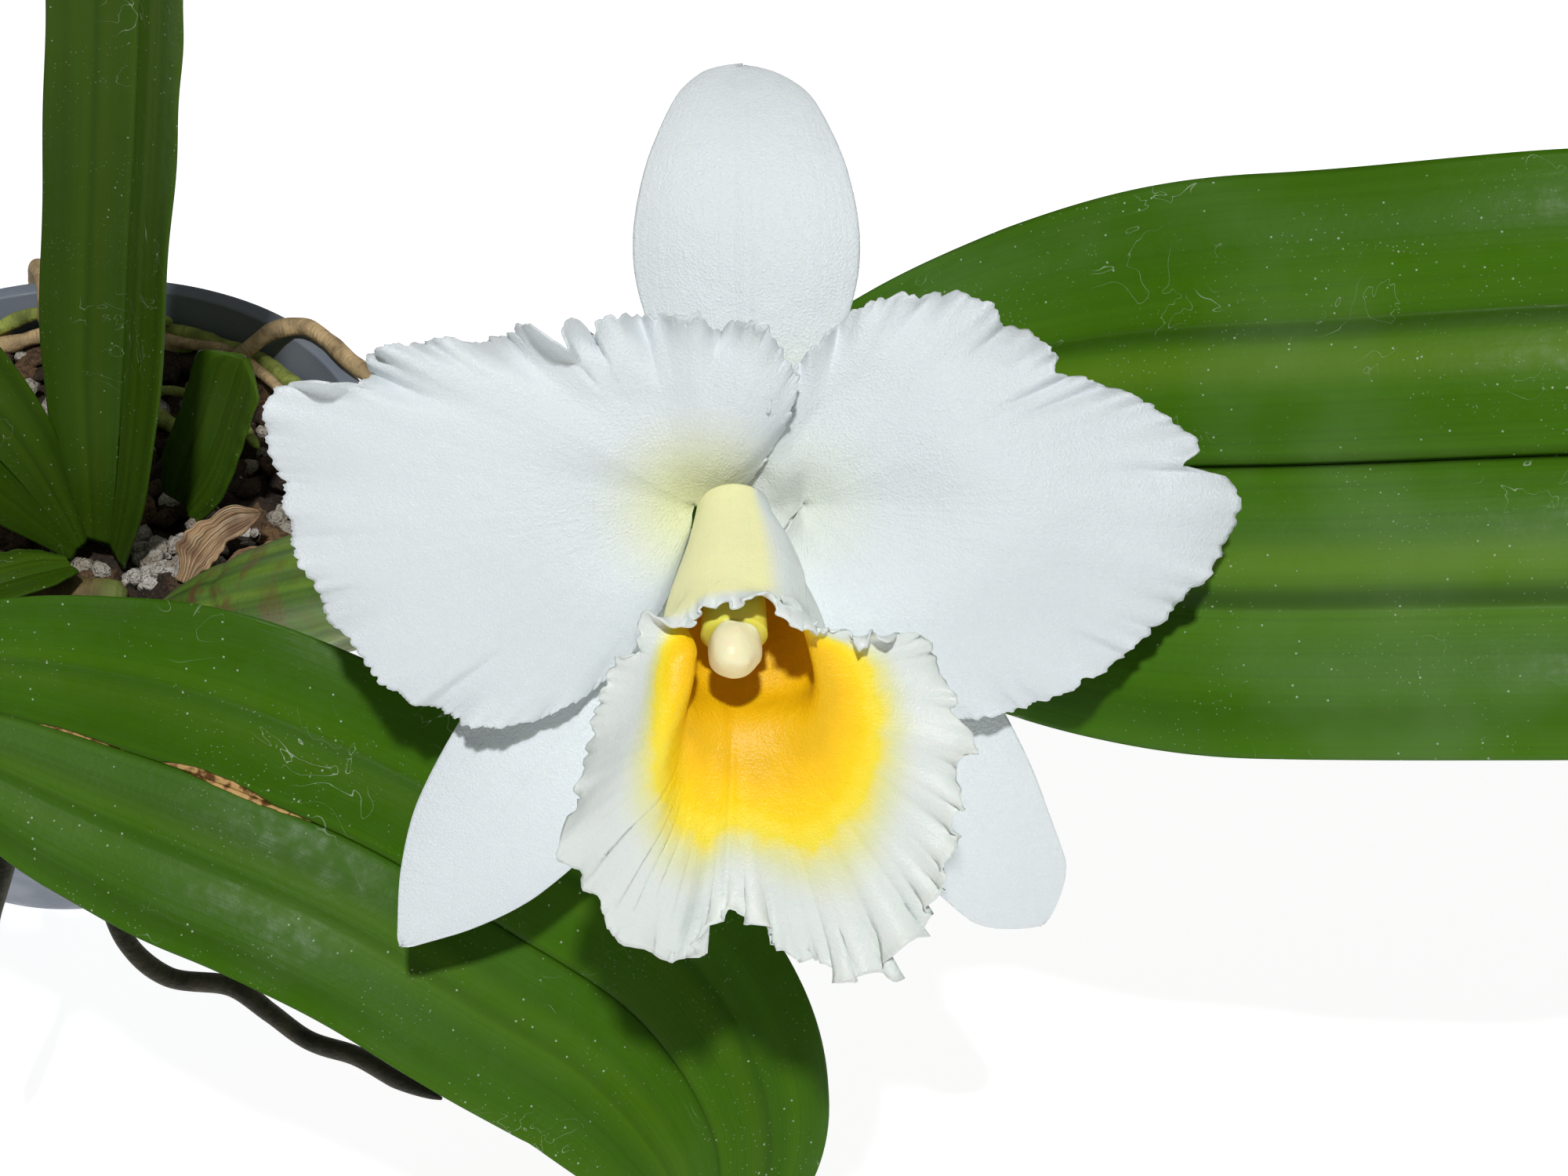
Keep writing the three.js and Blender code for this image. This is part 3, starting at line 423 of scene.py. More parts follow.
def plastic_finish(name, base):
    """Moulded plastic: a fine grain, a dusty film that gathers in patches, and faint rings of lime."""
    f = Finish(name, roughness=0.45)
    film = f.span(f.noise(0.05, 4.0), 0.42, 0.72, 0.0, 0.35)
    tint = f.mix(f.noise(0.012, 1.0), shaded(base, 0.85), shaded(base, 1.15))
    specks = f.span(f.cells(0.5), 0.0, 0.1, 0.5, 0.0)
    dusty = f.mix(film, tint, colour("8d8f92"))
    f.paint(f.mix(specks, dusty, colour("b9b6ae")))
    f.rough(f.span(f.noise(0.15, 3.0), 0.3, 0.7, 0.38, 0.62))
    return f.relief(f.noise(3.0, 2.0), 0.03).material


def leaf_finish(name, base, scars=(), haze=0.02, painted_pleat_shading=0.15):
    """A leathery leaf: parallel fibres, a painted highlight along a ridge and painted shade in a groove
    beside the middle of each half, painted shade along the groove down its middle with a fine pale line,
    a thin dust with specks and curled hairs on it, and brown scars. A scar is (across, along, length, width)."""
    f = Finish(name, roughness=0.45, Specular_IOR_Level=0.13)
    broad = f.noise(1.0, 1.0, f.streaks(7.0, 0.7))
    fine = f.noise(1.0, 2.0, f.streaks(120.0, 1.5, 3.0))
    patch = f.noise(0.03, 3.0)
    green = f.ramp(
        f.calc("ADD", f.calc("MULTIPLY", broad, 0.75), f.calc("MULTIPLY", patch, 0.25)),
        (0.3, shaded(base, 0.72)),
        (0.5, base),
        (0.66, (base[0] * 1.35, base[1] * 1.2, base[2] * 1.2)),
        (0.82, (base[0] * 1.8, base[1] * 1.4, base[2] * 1.5)),
    )
    green = f.mix(f.span(fine, 0.4, 0.75, 0.0, 0.25), green, shaded(base, 0.6))
    # painted shading on the pleats: a painted highlight along a ridge and painted shade in the groove beside
    # it, in each half of the leaf
    middle = f.calc("ABSOLUTE", f.calc("SUBTRACT", f.across, 0.5))
    quarter = f.calc("SUBTRACT", middle, 0.24)
    beside = f.calc("ABSOLUTE", f.calc("ADD", quarter, f.calc("MULTIPLY", patch, 0.02)))
    ridge = f.calc("ABSOLUTE", f.calc("ADD", quarter, 0.07))
    green = f.mix(f.span(ridge, 0.0, 0.06, painted_pleat_shading, 0.0), green, (base[0] * 2.6, base[1] * 1.7, base[2] * 2.5))
    green = f.mix(f.span(beside, 0.0, 0.035, 1.6 * painted_pleat_shading, 0.0), green, shaded(base, 0.35))
    # painted shade along the groove down the middle of the leaf
    green = f.mix(f.span(middle, 0.0, 0.03, 0.65, 0.0), green, shaded(base, 0.45))
    green = f.mix(f.span(middle, 0.001, 0.0035, 0.75, 0.0), green, colour("8fa982"))
    scattered_at = f.calc("GREATER_THAN", f.noise(0.06, 1.0), 0.5)
    speck = f.calc("MULTIPLY", f.span(f.cells(0.55), 0.05, 0.11, 0.75, 0.0), scattered_at)
    dotted_at = f.span(f.noise(0.08, 3.0), 0.45, 0.6)
    dots = f.calc("MULTIPLY", f.span(f.cells(1.3), 0.08, 0.16, 0.4, 0.0), dotted_at)
    curl = f.calc("ABSOLUTE", f.calc("SUBTRACT", f.noise(0.11, 2.0, distortion=1.6), 0.5))
    hair = f.calc("MULTIPLY", f.span(curl, 0.0, 0.0045, 0.7, 0.0), f.span(f.noise(0.05, 2.0), 0.56, 0.62))
    haze = f.span(f.noise(0.03, 4.0), 0.45, 0.8, 0.0, haze)
    dust = f.calc("MAXIMUM", f.calc("MAXIMUM", speck, dots), f.calc("MAXIMUM", hair, haze))
    green = f.mix(dust, green, colour("a9b8a0"))
    for across, along, length, width in scars:
        wobble = f.calc("MULTIPLY", f.noise(0.25, 2.0), 0.012)
        off = f.calc("ABSOLUTE", f.calc("SUBTRACT", f.calc("ADD", f.across, wobble), across + 0.006))
        run = f.calc("DIVIDE", f.calc("SUBTRACT", f.along, along), length)
        inside = f.calc("ADD", f.calc("DIVIDE", off, width), f.calc("MULTIPLY", run, run))
        scar = f.span(inside, 0.8, 1.0, 1.0, 0.0)
        dead = f.mix(f.span(f.noise(0.8, 2.0), 0.35, 0.6), colour("5c3c1c"), colour("c09c64"))
        green = f.mix(scar, green, dead)
        f.relief(scar, -0.2)
    f.paint(green)
    f.rough(f.calc("ADD", f.span(f.noise(0.4, 3.0), 0.3, 0.7, 0.38, 0.55), f.calc("MULTIPLY", dust, 0.3)))
    f.relief(fine, 0.03)
    return f.relief(f.noise(1.2, 3.0), 0.04).material


def tepal_finish(name, base, foot):
    """A petal: white and faintly veined, tinted at its foot, with tiny cells that glisten by their roughness
    and bumps, and white dots painted on as painted glints.
    """
    f = Finish(name, roughness=0.55, Subsurface_Weight=0.25, Subsurface_Scale=0.002, Sheen_Weight=0.1)
    f.shader.inputs["Subsurface Radius"].default_value = (1.0, 0.9, 0.7)
    vein = f.noise(1.0, 1.5, f.streaks(70.0, 1.2))
    white = f.mix(f.span(vein, 0.4, 0.75, 0.0, 0.05), base, shaded(base, 0.8))
    white = f.mix(f.span(f.noise(0.035, 2.0), 0.35, 0.7, 0.0, 0.07), white, colour("c9d2de"))
    # white dots on the tiny cells: painted glints
    white = f.mix(f.span(f.cells(2.4), 0.06, 0.2, 0.6, 0.0), white, colour("ffffff"))
    f.paint(f.mix(f.value("tint"), white, foot))
    sparkle = f.cells(3.2)
    f.rough(f.span(sparkle, 0.1, 0.6, 0.34, 0.6))
    f.relief(vein, 0.035)
    f.relief(sparkle, 0.09)
    return f.relief(f.noise(0.3, 3.0), 0.25).material


def lip_finish(name, base, throat, hood):
    """The lip: white with radiating pleats, pale yellow round the back of its tube, and a deep yellow
    throat that fades out over the limb and is darkened deepest in the tube as painted shade."""
    f = Finish(name, roughness=0.5, Subsurface_Weight=0.08, Subsurface_Scale=0.001)
    wobble = f.calc("MULTIPLY", f.calc("SUBTRACT", f.noise(0.3, 3.0), 0.5), 0.3)
    wobble = f.calc("MULTIPLY", wobble, f.span(f.value("throat"), 0.02, 0.3))
    depth = f.calc("ADD", f.value("throat"), wobble)
    vein = f.noise(1.0, 1.5, f.streaks(160.0, 1.5))
    white = f.mix(f.span(vein, 0.4, 0.75, 0.0, 0.1), base, shaded(base, 0.8))
    # the last stop darkens the throat's yellow deepest in the tube: painted shade
    inner = f.ramp(
        depth,
        (0.0, (1.0, 1.0, 1.0)),
        (0.16, colour("fffac0")),
        (0.34, colour("ffe840")),
        (0.55, (throat[0], throat[1] * 1.2, throat[2])),
        (0.85, throat),
        (1.0, shaded(throat, 0.86)),
    )
    inside = f.mix(f.span(depth, 0.1, 0.5), f.mix(1.0, white, inner, "MULTIPLY"), inner)
    outside = f.mix(f.span(f.value("hood"), 0.1, 0.75), white, hood)
    f.paint(f.mix(f.value("face"), outside, inside))
    f.relief(vein, 0.05)
    f.relief(f.cells(3.2), 0.05)
    return f.relief(f.noise(0.45, 3.0), 0.2).material


def column_finish(name, base, deep):
    """Waxy cream that turns green-yellow towards the foot of the column."""
    f = Finish(name, roughness=0.4, Subsurface_Weight=0.3, Subsurface_Scale=0.002)
    fade = f.calc("ADD", f.along, f.calc("MULTIPLY", f.noise(0.6, 2.0), 0.3))
    f.paint(f.mix(f.span(fade, 0.5, 1.2), deep, base))
    return f.relief(f.noise(1.5, 3.0), 0.08).material


def bark_finish(name, base):
    """Broken bark: each lump its own brown, with grain, dark cracks and pale dust on top."""
    f = Finish(name, roughness=0.92)
    tone = f.value("tone")
    grain = f.noise(0.9, 5.0, distortion=0.6)
    brown = f.ramp(
        tone,
        (0.0, shaded(base, 0.4)),
        (0.45, base),
        (0.8, shaded(base, 1.9)),
        (1.0, colour("7d5f40")),
    )
    brown = f.mix(f.span(grain, 0.35, 0.6, 0.75, 0.0), brown, shaded(base, 0.25))
    f.paint(f.mix(f.span(f.noise(2.5, 3.0), 0.62, 0.72, 0.0, 0.45), brown, colour("a79b88")))
    f.relief(grain, 0.8)
    return f.relief(f.noise(4.0, 3.0), 0.25).material


def pumice_finish(name, base):
    """Pale porous grains, stained brown in places."""
    f = Finish(name, roughness=0.95)
    pores = f.cells(1.6)
    pale = f.mix(f.value("tone"), base, colour("9a8f80"))
    pale = f.mix(f.span(f.noise(0.3, 3.0), 0.5, 0.75, 0.0, 0.6), pale, colour("6d5a44"))
    f.paint(f.mix(f.span(pores, 0.1, 0.3, 0.5, 0.0), pale, colour("57504a")))
    f.relief(pores, 0.5)
    return f.relief(f.noise(2.0, 4.0), 0.4).material


def papery_finish(name, base):
    """A dry sheath: long torn fibres from straw to dark brown, slightly see-through at the ribs."""
    f = Finish(name, roughness=0.8, Subsurface_Weight=0.2, Subsurface_Scale=0.001)
    fibre = f.noise(1.0, 3.0, f.streaks(26.0, 2.0))
    tan = f.ramp(
        fibre,
        (0.3, colour("54301f")),
        (0.43, shaded(base, 0.55)),
        (0.53, base),
        (0.65, colour("e2d2b4")),
    )
    f.paint(f.mix(f.span(f.noise(0.12, 3.0), 0.5, 0.7, 0.0, 0.65), tan, colour("5d3a2a")))
    f.relief(fibre, 0.5)
    return f.relief(f.noise(1.5, 3.0), 0.15).material


def root_finish(name, base, tip):
    """A root's spongy coat: blotched, finely wrinkled round, and another colour at its growing tip."""
    f = Finish(name, roughness=0.75)
    blotch = f.ramp(
        f.noise(0.18, 4.0, distortion=0.5),
        (0.3, shaded(base, 0.45)),
        (0.48, base),
        (0.68, shaded(base, 1.5)),
    )
    ring = f.noise(1.0, 3.0, f.streaks(3.0, 90.0))
    blotch = f.mix(f.span(ring, 0.5, 0.7, 0.0, 0.5), blotch, shaded(base, 0.4))
    f.paint(f.mix(f.span(f.along, 0.9, 0.99), blotch, tip))
    f.relief(ring, 0.25)
    return f.relief(f.noise(1.2, 4.0), 0.25).material


def bulb_finish(name, base):
    """A pseudobulb: lengthways furrows, yellow-green ridges and brown stains near its foot."""
    f = Finish(name, roughness=0.5)
    ridge = f.noise(1.0, 2.0, f.streaks(22.0, 1.5))
    green = f.ramp(
        ridge,
        (0.3, shaded(base, 0.5)),
        (0.5, base),
        (0.72, (base[0] * 1.9, base[1] * 1.5, base[2] * 1.3)),
    )
    stain = f.calc("MULTIPLY", f.span(f.along, 0.1, 0.6, 1.0, 0.25), f.span(f.noise(0.15, 4.0), 0.45, 0.62))
    f.paint(f.mix(stain, green, colour("6b5230")))
    f.relief(ridge, 0.5)
    return f.relief(f.noise(0.8, 3.0), 0.15).material


def stalk_finish(name, base):
    """A fresh green stalk with faint lengthways lines."""
    f = Finish(name, roughness=0.45, Subsurface_Weight=0.1, Subsurface_Scale=0.001)
    line = f.noise(1.0, 2.0, f.streaks(20.0, 1.0))
    f.paint(f.mix(f.span(line, 0.35, 0.7), shaded(base, 0.75), shaded(base, 1.3)))
    return f.relief(line, 0.15).material


def floor_finish(name, base):
    """A pale matt surface with a glow of its own, very slightly uneven in tone."""
    f = Finish(name, roughness=0.9)
    f.shader.inputs["Emission Color"].default_value = (1.0, 1.0, 1.0, 1.0)
    f.shader.inputs["Emission Strength"].default_value = FLOOR_GLOW
    f.paint(f.mix(f.noise(0.004, 2.0), shaded(base, 0.985), base))
    return f.material


# ---------------------------------------------------------------- measures, in millimetres

POT_HIGH = np.array(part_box("pot")[1]) / MM
POT_WALL, POT_FLOOR, BAND_HEIGHT, BAND_STEP = 2.0, 3.0, 13.0, 2.0
POT_BASE = 43.0
POT_RIM, POT_HEIGHT = POT_HIGH[0], POT_HIGH[2]
DRAIN_HOLES, DRAIN_RADIUS, DRAIN_CIRCLE = 6, 4.0, 29.0
MIX_TOP = POT_HEIGHT - 9.0
GROUND = MIX_TOP + 1.2  # the plant's own heights start here
ON_GROUND = np.array([0, 0, GROUND])
GAP = 0.3
CHIP_SPREAD, CHIPS_REPLACED, GRAINS_REPLACED = 5.0, 6, 6  # from the mix's edge, and the solids stood for
GRAIN_HEAP, HEAP_SPREAD = (27, -13), (9, 5)
MIX_SLACK, MIX_SHOULDER = 0.6, 1.8  # between mix and wall, and how far its edge lies below its top
CHIP_LENGTHS, CHIP_WIDTHS, CHIP_THICKS, CHIP_TIP = (2.5, 6), (1.6, 3.6), (0.9, 1.9), 0.35
GRAIN_SIZES = (0.8, 2.3)

BULB_NECK = 3.6
RHIZOME_RADIUS = 3.6
ON_RHIZOME = 2 * RHIZOME_RADIUS + GAP
RHIZOME_PATH = [[-40, 12, 3.6], [-22, -4, 3.6], [-4, -16, 3.6], [10, -22, 3.6], [21, -22.5, 3.6]]
BULBS = {
    "pseudobulb_flowering": dict(foot=[29.5, -28], over=0, top=[110, -63, 60], bow=[2, -3.5, 2], radius=10.2),
    "pseudobulb_front": dict(foot=[-14, -11], over=ON_RHIZOME, top=[4, -95, 62], bow=[-3, 0, 5], radius=8),
    "pseudobulb_left": dict(foot=[-22, -5], over=ON_RHIZOME, top=[-74, -38, 86], bow=[-4, -2, 6], radius=8),
    "pseudobulb_back": dict(foot=[-46.5, 17], over=0, top=[-74, 62, 84], bow=[-3, 2, 4], radius=8.5),
    "pseudobulb_old": dict(foot=[-31, 6], over=ON_RHIZOME, top=[-38, 28, 88], bow=[2, 3, 4], radius=8),
}
SHEATHS = {
    "dry_sheath_flowering": dict(
        bulb="pseudobulb_flowering", start=0.12, end=0.36, flare=3, middle=250, wrap=80
    ),
    "dry_sheath_front": dict(bulb="pseudobulb_front", start=0.1, end=0.34, flare=2, middle=60, wrap=100),
    "dry_sheath_left": dict(bulb="pseudobulb_left", start=0.1, end=0.36, flare=2, middle=200, wrap=110),
    "dry_sheath_old": dict(bulb="pseudobulb_old", start=0.2, end=0.5, flare=2, middle=100, wrap=90),
}
LEAVES = {
    "leaf_right": dict(
        bulb="pseudobulb_flowering",
        steps=[[28, -1, 8], [61, -11, 20], [97, -21, 30], [130, -29, 39], [175, -35, 46], [211, -40, 51]],
        facing=[0.1, -0.72, 0.69],
        facing_tip=[0.3, -0.6, 0.74],
        shape=dict(width=78, foot=0.09, full=0.45, closing=0.6, fold=0.1, pleat=2.8),
    ),
    "leaf_front": dict(
        bulb="pseudobulb_front",
        steps=[[24, -6, -2], [42, -10, -5], [59, -15, -8], [78, -21, -14], [96, -27, -24], [114, -33, -37]]
        + [[124, -42, -52], [125, -52, -67]],
        facing=[-0.1, -0.6, 0.79],
        facing_tip=[0.35, -0.7, 0.62],
        shape=dict(width=46.5, foot=0.14, full=0.4, closing=0.66, fold=0.16, pleat=0.5),
    ),
    "leaf_left": dict(
        bulb="pseudobulb_left",
        steps=[[-16, -8, 20], [-44, -18, 40], [-82, -28, 50], [-116, -36, 46], [-140, -42, 34]],
        facing=[0.3, -0.3, 0.9],
        facing_tip=[-0.3, -0.3, 0.9],
        shape=dict(width=54, foot=0.12, full=0.36, closing=0.64, fold=0.24, pleat=0.6),
    ),
    "leaf_back": dict(
        bulb="pseudobulb_back",
        steps=[[-12, 16, 22], [-34, 44, 42], [-58, 76, 48], [-78, 104, 40], [-90, 122, 28]],
        facing=[0.3, -0.55, 0.75],
        facing_tip=[-0.2, 0.3, 0.9],
        shape=dict(width=50, foot=0.12, full=0.36, closing=0.64, fold=0.26, pleat=0.6),
    ),
    "leaf_old": dict(
        bulb="pseudobulb_old",
        steps=[[-8, 12, 22], [-24, 34, 52], [-44, 58, 76], [-66, 84, 88], [-84, 104, 86]],
        facing=[0.2, -0.7, 0.7],
        facing_tip=[-0.1, 0.2, 0.95],
        shape=dict(width=46, foot=0.12, full=0.36, closing=0.64, fold=0.26, pleat=0.6),
    ),
}
FAN = {
    "fan_leaf_upright": dict(
        path=[[15, -7.5, 2], [19.5, -6, 18], [25, -2, 43], [30, 0, 66], [35, 2, 88], [39, 5, 108]]
        + [[44, 7, 133], [48, 9, 153]],
        facing=[-0.5, -0.83, 0.2],
        facing_tip=[-0.4, -0.85, 0.35],
        shape=dict(width=27, foot=0.45, full=0.3, closing=0.72, fold=0.55, pleat=0.2),
    ),
    "fan_leaf_left": dict(
        path=[[8.5, -9, 2], [5, -9.5, 12], [-1, -11, 28], [-14, -11, 50], [-31, -12, 68], [-50, -12, 81]]
        + [[-68, -10, 87]],
        facing=[0.5, -0.5, 0.7],
        facing_tip=[-0.2, -0.2, 0.96],
        shape=dict(width=27, foot=0.18, full=0.4, closing=0.66, fold=0.45, pleat=0.2),
    ),
    "fan_leaf_low": dict(
        path=[[12, -21.5, 9], [7, -25, 10.5], [1, -28.5, 11.5], [-5, -30, 11]],
        facing=[0.2, 0.3, 0.9],
        facing_tip=[-0.2, -0.2, 0.96],
        shape=dict(width=13, foot=0.5, full=0.4, closing=0.6, fold=0.35, pleat=0.2),
    ),
    "young_leaf": dict(
        path=[[27, 3, 2.5], [33, 3, 13], [38, 5, 24], [42.5, 6, 35]],
        facing=[-0.5, -0.8, 0.35],
        facing_tip=[-0.4, -0.8, 0.4],
        shape=dict(width=15, foot=0.6, full=0.35, closing=0.9, fold=0.5, pleat=0.1),
    ),
}
HUSKS = {
    "dry_husk_tall": dict(
        path=[[31, -19, 3], [33.5, -16, 7], [38, -13, 11], [44.5, -11, 13]],
        facing=[-0.4, -0.6, 0.7],
        facing_tip=[0.2, -0.5, 0.85],
        shape=dict(width=7, foot=0.5, full=0.4, closing=0.4, fold=0.6, pleat=0),
    ),
    "dry_husk_low": dict(
        path=[[37, -18, 3], [43, -16, 5], [50, -15, 7], [57, -16, 9]],
        facing=[0, -0.5, 0.85],
        facing_tip=[0, -0.4, 0.9],
        shape=dict(width=7, foot=0.55, full=0.5, closing=0.5, fold=0.4, pleat=0),
    ),
}

ROOT_RADIUS = 1.7
LYING = GROUND + ROOT_RADIUS
AT_WALL = POT_BASE + (POT_RIM - BAND_STEP - POT_BASE) * GROUND / POT_HEIGHT - POT_WALL - ROOT_RADIUS - 2 * GAP
OVER_RIM = POT_HEIGHT + ROOT_RADIUS + 2 * GAP
OUTSIDE = POT_RIM + ROOT_RADIUS + 2 * GAP
RIM_MIDDLE = POT_RIM - (BAND_STEP + POT_WALL) / 2


def lying_at(angles, radius):
    """Points on the mix at these angles and this radius."""
    return [polar(angle, radius, LYING) for angle in angles]


def arched(radius, *steps):
    """Points at this radius, from steps of (angle, height above the roots that lie on the mix)."""
    return [polar(angle, radius, LYING + height) for angle, height in steps]


ROOTS = {
    "root_over_rim_right": [
        polar(60, AT_WALL - 15, LYING),
        polar(56, AT_WALL - 9, LYING + 1),
        polar(53, AT_WALL - 3, OVER_RIM - 3.5),
        polar(50, RIM_MIDDLE - 4, OVER_RIM - 0.4),
        polar(46, RIM_MIDDLE, OVER_RIM + 0.2),
        polar(40, RIM_MIDDLE + 1, OVER_RIM + 0.1),
        polar(33, RIM_MIDDLE + 1.6, OVER_RIM + 0.1),
        polar(27, OUTSIDE - 0.4, OVER_RIM - 0.8),
        polar(23, OUTSIDE + 1, OVER_RIM - 6),
        polar(20, OUTSIDE + 0.6, OVER_RIM - 15),
    ],
    "root_over_rim_left": [
        polar(98, AT_WALL - 16, LYING),
        polar(99, AT_WALL - 9, LYING + 1),
        polar(100, AT_WALL - 2, OVER_RIM - 3.5),
        polar(100, RIM_MIDDLE - 3, OVER_RIM),
        polar(101, RIM_MIDDLE + 2, OVER_RIM + 0.4),
        polar(102, OUTSIDE + 0.6, OVER_RIM - 2),
        polar(103, OUTSIDE + 1, OVER_RIM - 9),
        polar(104, OUTSIDE + 0.4, OVER_RIM - 18),
    ],
    "root_round_back": lying_at([86, 74, 62, 50, 38], AT_WALL),
    "root_round_left": lying_at([108, 119, 131, 144], AT_WALL),
    "root_round_right": lying_at([26, 12, -2, -16], AT_WALL - 1),
    "root_front": lying_at([230, 250, 270, 290], AT_WALL),
    "root_inner": lying_at([60, 44, 28, 14], AT_WALL * 0.58),
}
LOOSE_ROOTS = {
    "loose_root_back": arched(AT_WALL - 3.8, (116, 0), (104, 1.4), (92, 1.8), (80, 1), (68, 0)),
    "loose_root_high": arched(AT_WALL - 0.6, (112, 2), (103, 4.6), (93, 3.6), (84, 3), (74, 3.4)),
    "loose_root_right": arched(AT_WALL - 4, (74, 1), (60, 3), (47, 2.4), (33, 1), (20, 0)),
    "loose_root_middle": [[6, 30, LYING], [16, 34, LYING + 2], [30, 29, LYING + 1.4], [38, 18, LYING + 1]],
}
AERIAL_ROOTS = {
    "aerial_root_front": dict(
        radius=1.6,
        inside=[8, -33, 2.2],
        crossing=-75,
        steps=[[5, -9, 2], [11, -20, -1], [15, -29, -6], [18, -34, -12], [24, -37, -17], [34, -37, -20]]
        + [[40, -40, -23], [46, -43, -26], [54, -46, -26], [61, -49, -28], [68, -52, -29]],
    ),
    "aerial_root_left": dict(
        radius=2.6,
        inside=[-6, -39, 3.4],
        crossing=-88,
        steps=[[4, -9, 2], [12, -21, -2], [10, -30, -9], [8, -37, -16], [6, -42, -25]],
    ),
}

FLOWER_FROM_BULB = np.array([24, -36, 37])
LIP_START = np.array([-2, -0.5, 3.3])
LIP_TILT = math.radians(45)
SEPALS = {
    "dorsal_sepal": dict(angle=0, length=56, width=29, lift=4, curl=-58, blunt=34, tip=0.27),
    "lateral_sepal_left": dict(angle=-141, length=67, width=25, lift=-4, curl=6, blunt=60, tip=0.05),
    "lateral_sepal_right": dict(angle=146, length=66, width=24, lift=-6, curl=-30, blunt=9, tip=0.33),
}
SEPAL_OUTLINE = line_through([[0, 0.3], [0.16, 0.68], [0.42, 1], [0.66, 0.92], [0.88, 0.6], [1, 0.22]])
SEPAL_START, SEPAL_LAYER = 6.8, -4.5
# each petal's reach is a table of (angle, length), its notches are (angle, depth, width) and its creases
# (angle, depth, width, where along the vein they start)
PETALS = {
    "petal_left": dict(
        side=-1,
        layer=1.8,
        fall=6,
        reach=[[-72, 12], [-62, 25], [-50, 36.4], [-34, 44], [-15, 49], [2, 52], [14, 55], [23, 48]]
        + [[34, 38], [47, 31], [69, 25.5], [90, 23.5], [110, 23.5], [129, 20.6], [145, 12], [158, 7]],
        notches=[(21.5, 5.5, 3.0), (37, 1.8, 1.8), (52, 4.4, 2.4), (61, 2.6, 1.8), (98, 1.2, 3.5)]
        + [(-20, 0.9, 1.5)],
        creases=[(52, 2.2, 1.8, 0.6), (60, 1.8, 1.6, 0.7), (21, 1.6, 2.2, 0.7), (98, 0.7, 4, 0.5)]
        + [(-4, 0.9, 1.0, 0.72), (-13, 1.1, 1.0, 0.8), (-36, 0.8, 1.2, 0.6), (75, 1.2, 2.5, 0.6)]
        + [(36, 1.2, 1.5, 0.75)],
        bays=1.0,
        lean=10.5,
    ),
    "petal_right": dict(
        side=1,
        layer=-1.2,
        fall=5,
        reach=[[-128, 9], [-112, 13], [-96, 18], [-84, 24], [-73, 28], [-62, 32], [-47, 38], [-26, 45.5]]
        + [[-8, 54], [1, 56], [14, 47], [27, 38], [42, 35.5], [66, 29.5], [86, 20], [110, 13]]
        + [[141, 8.5], [175, 8], [205, 8], [229, 9]],
        notches=[(5.3, 5.0, 1.6), (26.6, 1.8, 1.8), (41.5, 1.6, 1.8), (-14, 0.8, 1.2), (-33, 0.9, 1.2)]
        + [(60, 0.9, 2)],
        creases=[(25, 0.8, 1.4, 0.6), (21, 0.8, 1.2, 0.6), (5.3, 1.6, 1.6, 0.7), (-20, 0.7, 1.0, 0.8)]
        + [(-26, 0.8, 1.0, 0.75), (-33, 0.7, 1.0, 0.8), (41, 1.0, 1.4, 0.75), (60, 0.7, 2.0, 0.7)],
        bays=0.45,
        lean=3.0,
    ),
}
PETAL_BASE, PETAL_FOOT, PETAL_RISE, FULL_VEIN = 7.0, 0.15, 4.5, 40.0
# the lip's edge: the turn round the tube, the place along it and the distance from its middle
LIMB_EDGE = [
    [-180, 23, 9.1], [-126, 24, 10.3], [-90, 25, 13.5], [-75, 27, 17], [-60, 32, 22], [-47, 39, 28],
    [-17, 49, 30.5], [0, 46, 24.5], [30, 50, 34], [54, 40, 31.5], [68, 33, 29], [90, 24.5, 24],
    [110, 24, 12.5], [135, 24.5, 9], [180, 23, 9.1],
]
LIMB_ALONG = line_through([[turn, along] for turn, along, _ in LIMB_EDGE])
LIMB_REACH = line_through([[turn, reach] for turn, _, reach in LIMB_EDGE])
LIP_BASE_RADIUS, HOOD_LENGTH, FLOOR_LENGTH, HOOD_RADIUS, FLOOR_RADIUS = 4.2, 19.0, 31.0, 7.6, 9.4
LIP_SEAM, LIP_OVERLAP, LIP_THICK, EDGE_THICK = 128.0, 22.0, 0.85, 0.3
COLUMN_LENGTH, COLUMN_RADIUS, COLUMN_RISE, ANTHER_LENGTH = 23.0, 2.6, 1.6, 4.5
STALK_RADIUS, RECEPTACLE_RADIUS, RECEPTACLE_FRONT = 1.9, 6.2, 2.4
STALK_STEPS = [[8, -9, 16], [14, -20, 26]]
SPATHE = dict(
    steps=[[-4, -4.5, 4], [-3, -6, 10], [2, -8, 20], [6, -9, 30]],
    facing=[0.75, -0.5, 0.2],
    facing_tip=[0.75, -0.5, 0.2],
    shape=dict(width=13, foot=0.4, full=0.4, closing=0.5, fold=0.5, pleat=0),
)
SHEATH_THICK, SHEATH_GAP, HUSK_THICK, FAN_THICK, SPATHE_THICK = 0.35, 1.1, 0.4, 1.4, 0.5
LEAF_SIDE_STEP, STALK_SIDE_STEP, END_STEP = -1.8, 1.7, 4.0  # where leaf and stalk leave a bulb's end

# how finely the pieces are divided, as rows along and columns or sides round
POT_SIDES, DRILL_SIDES, MIX_RINGS, MIX_SIDES = 144, 32, 46, 150
BULB_ROWS, RHIZOME_ROWS, BULB_SIDES = 90, 120, 48
SHEATH_GRID, SHEATH_STEPS, HUSK_GRID, SPATHE_GRID = (46, 90), 199, (60, 40), (80, 40)
LEAF_GRID, FAN_GRID, ROOT_GRID = (190, 100), (130, 60), (220, 24)
SEPAL_GRID, PETAL_GRID, LIP_GRID = (140, 72), (62, 720), (80, 600)
COLUMN_ROWS, ANTHER_ROWS, COLUMN_SIDES, STALK_GRID = 80, 60, 40, (140, 36)

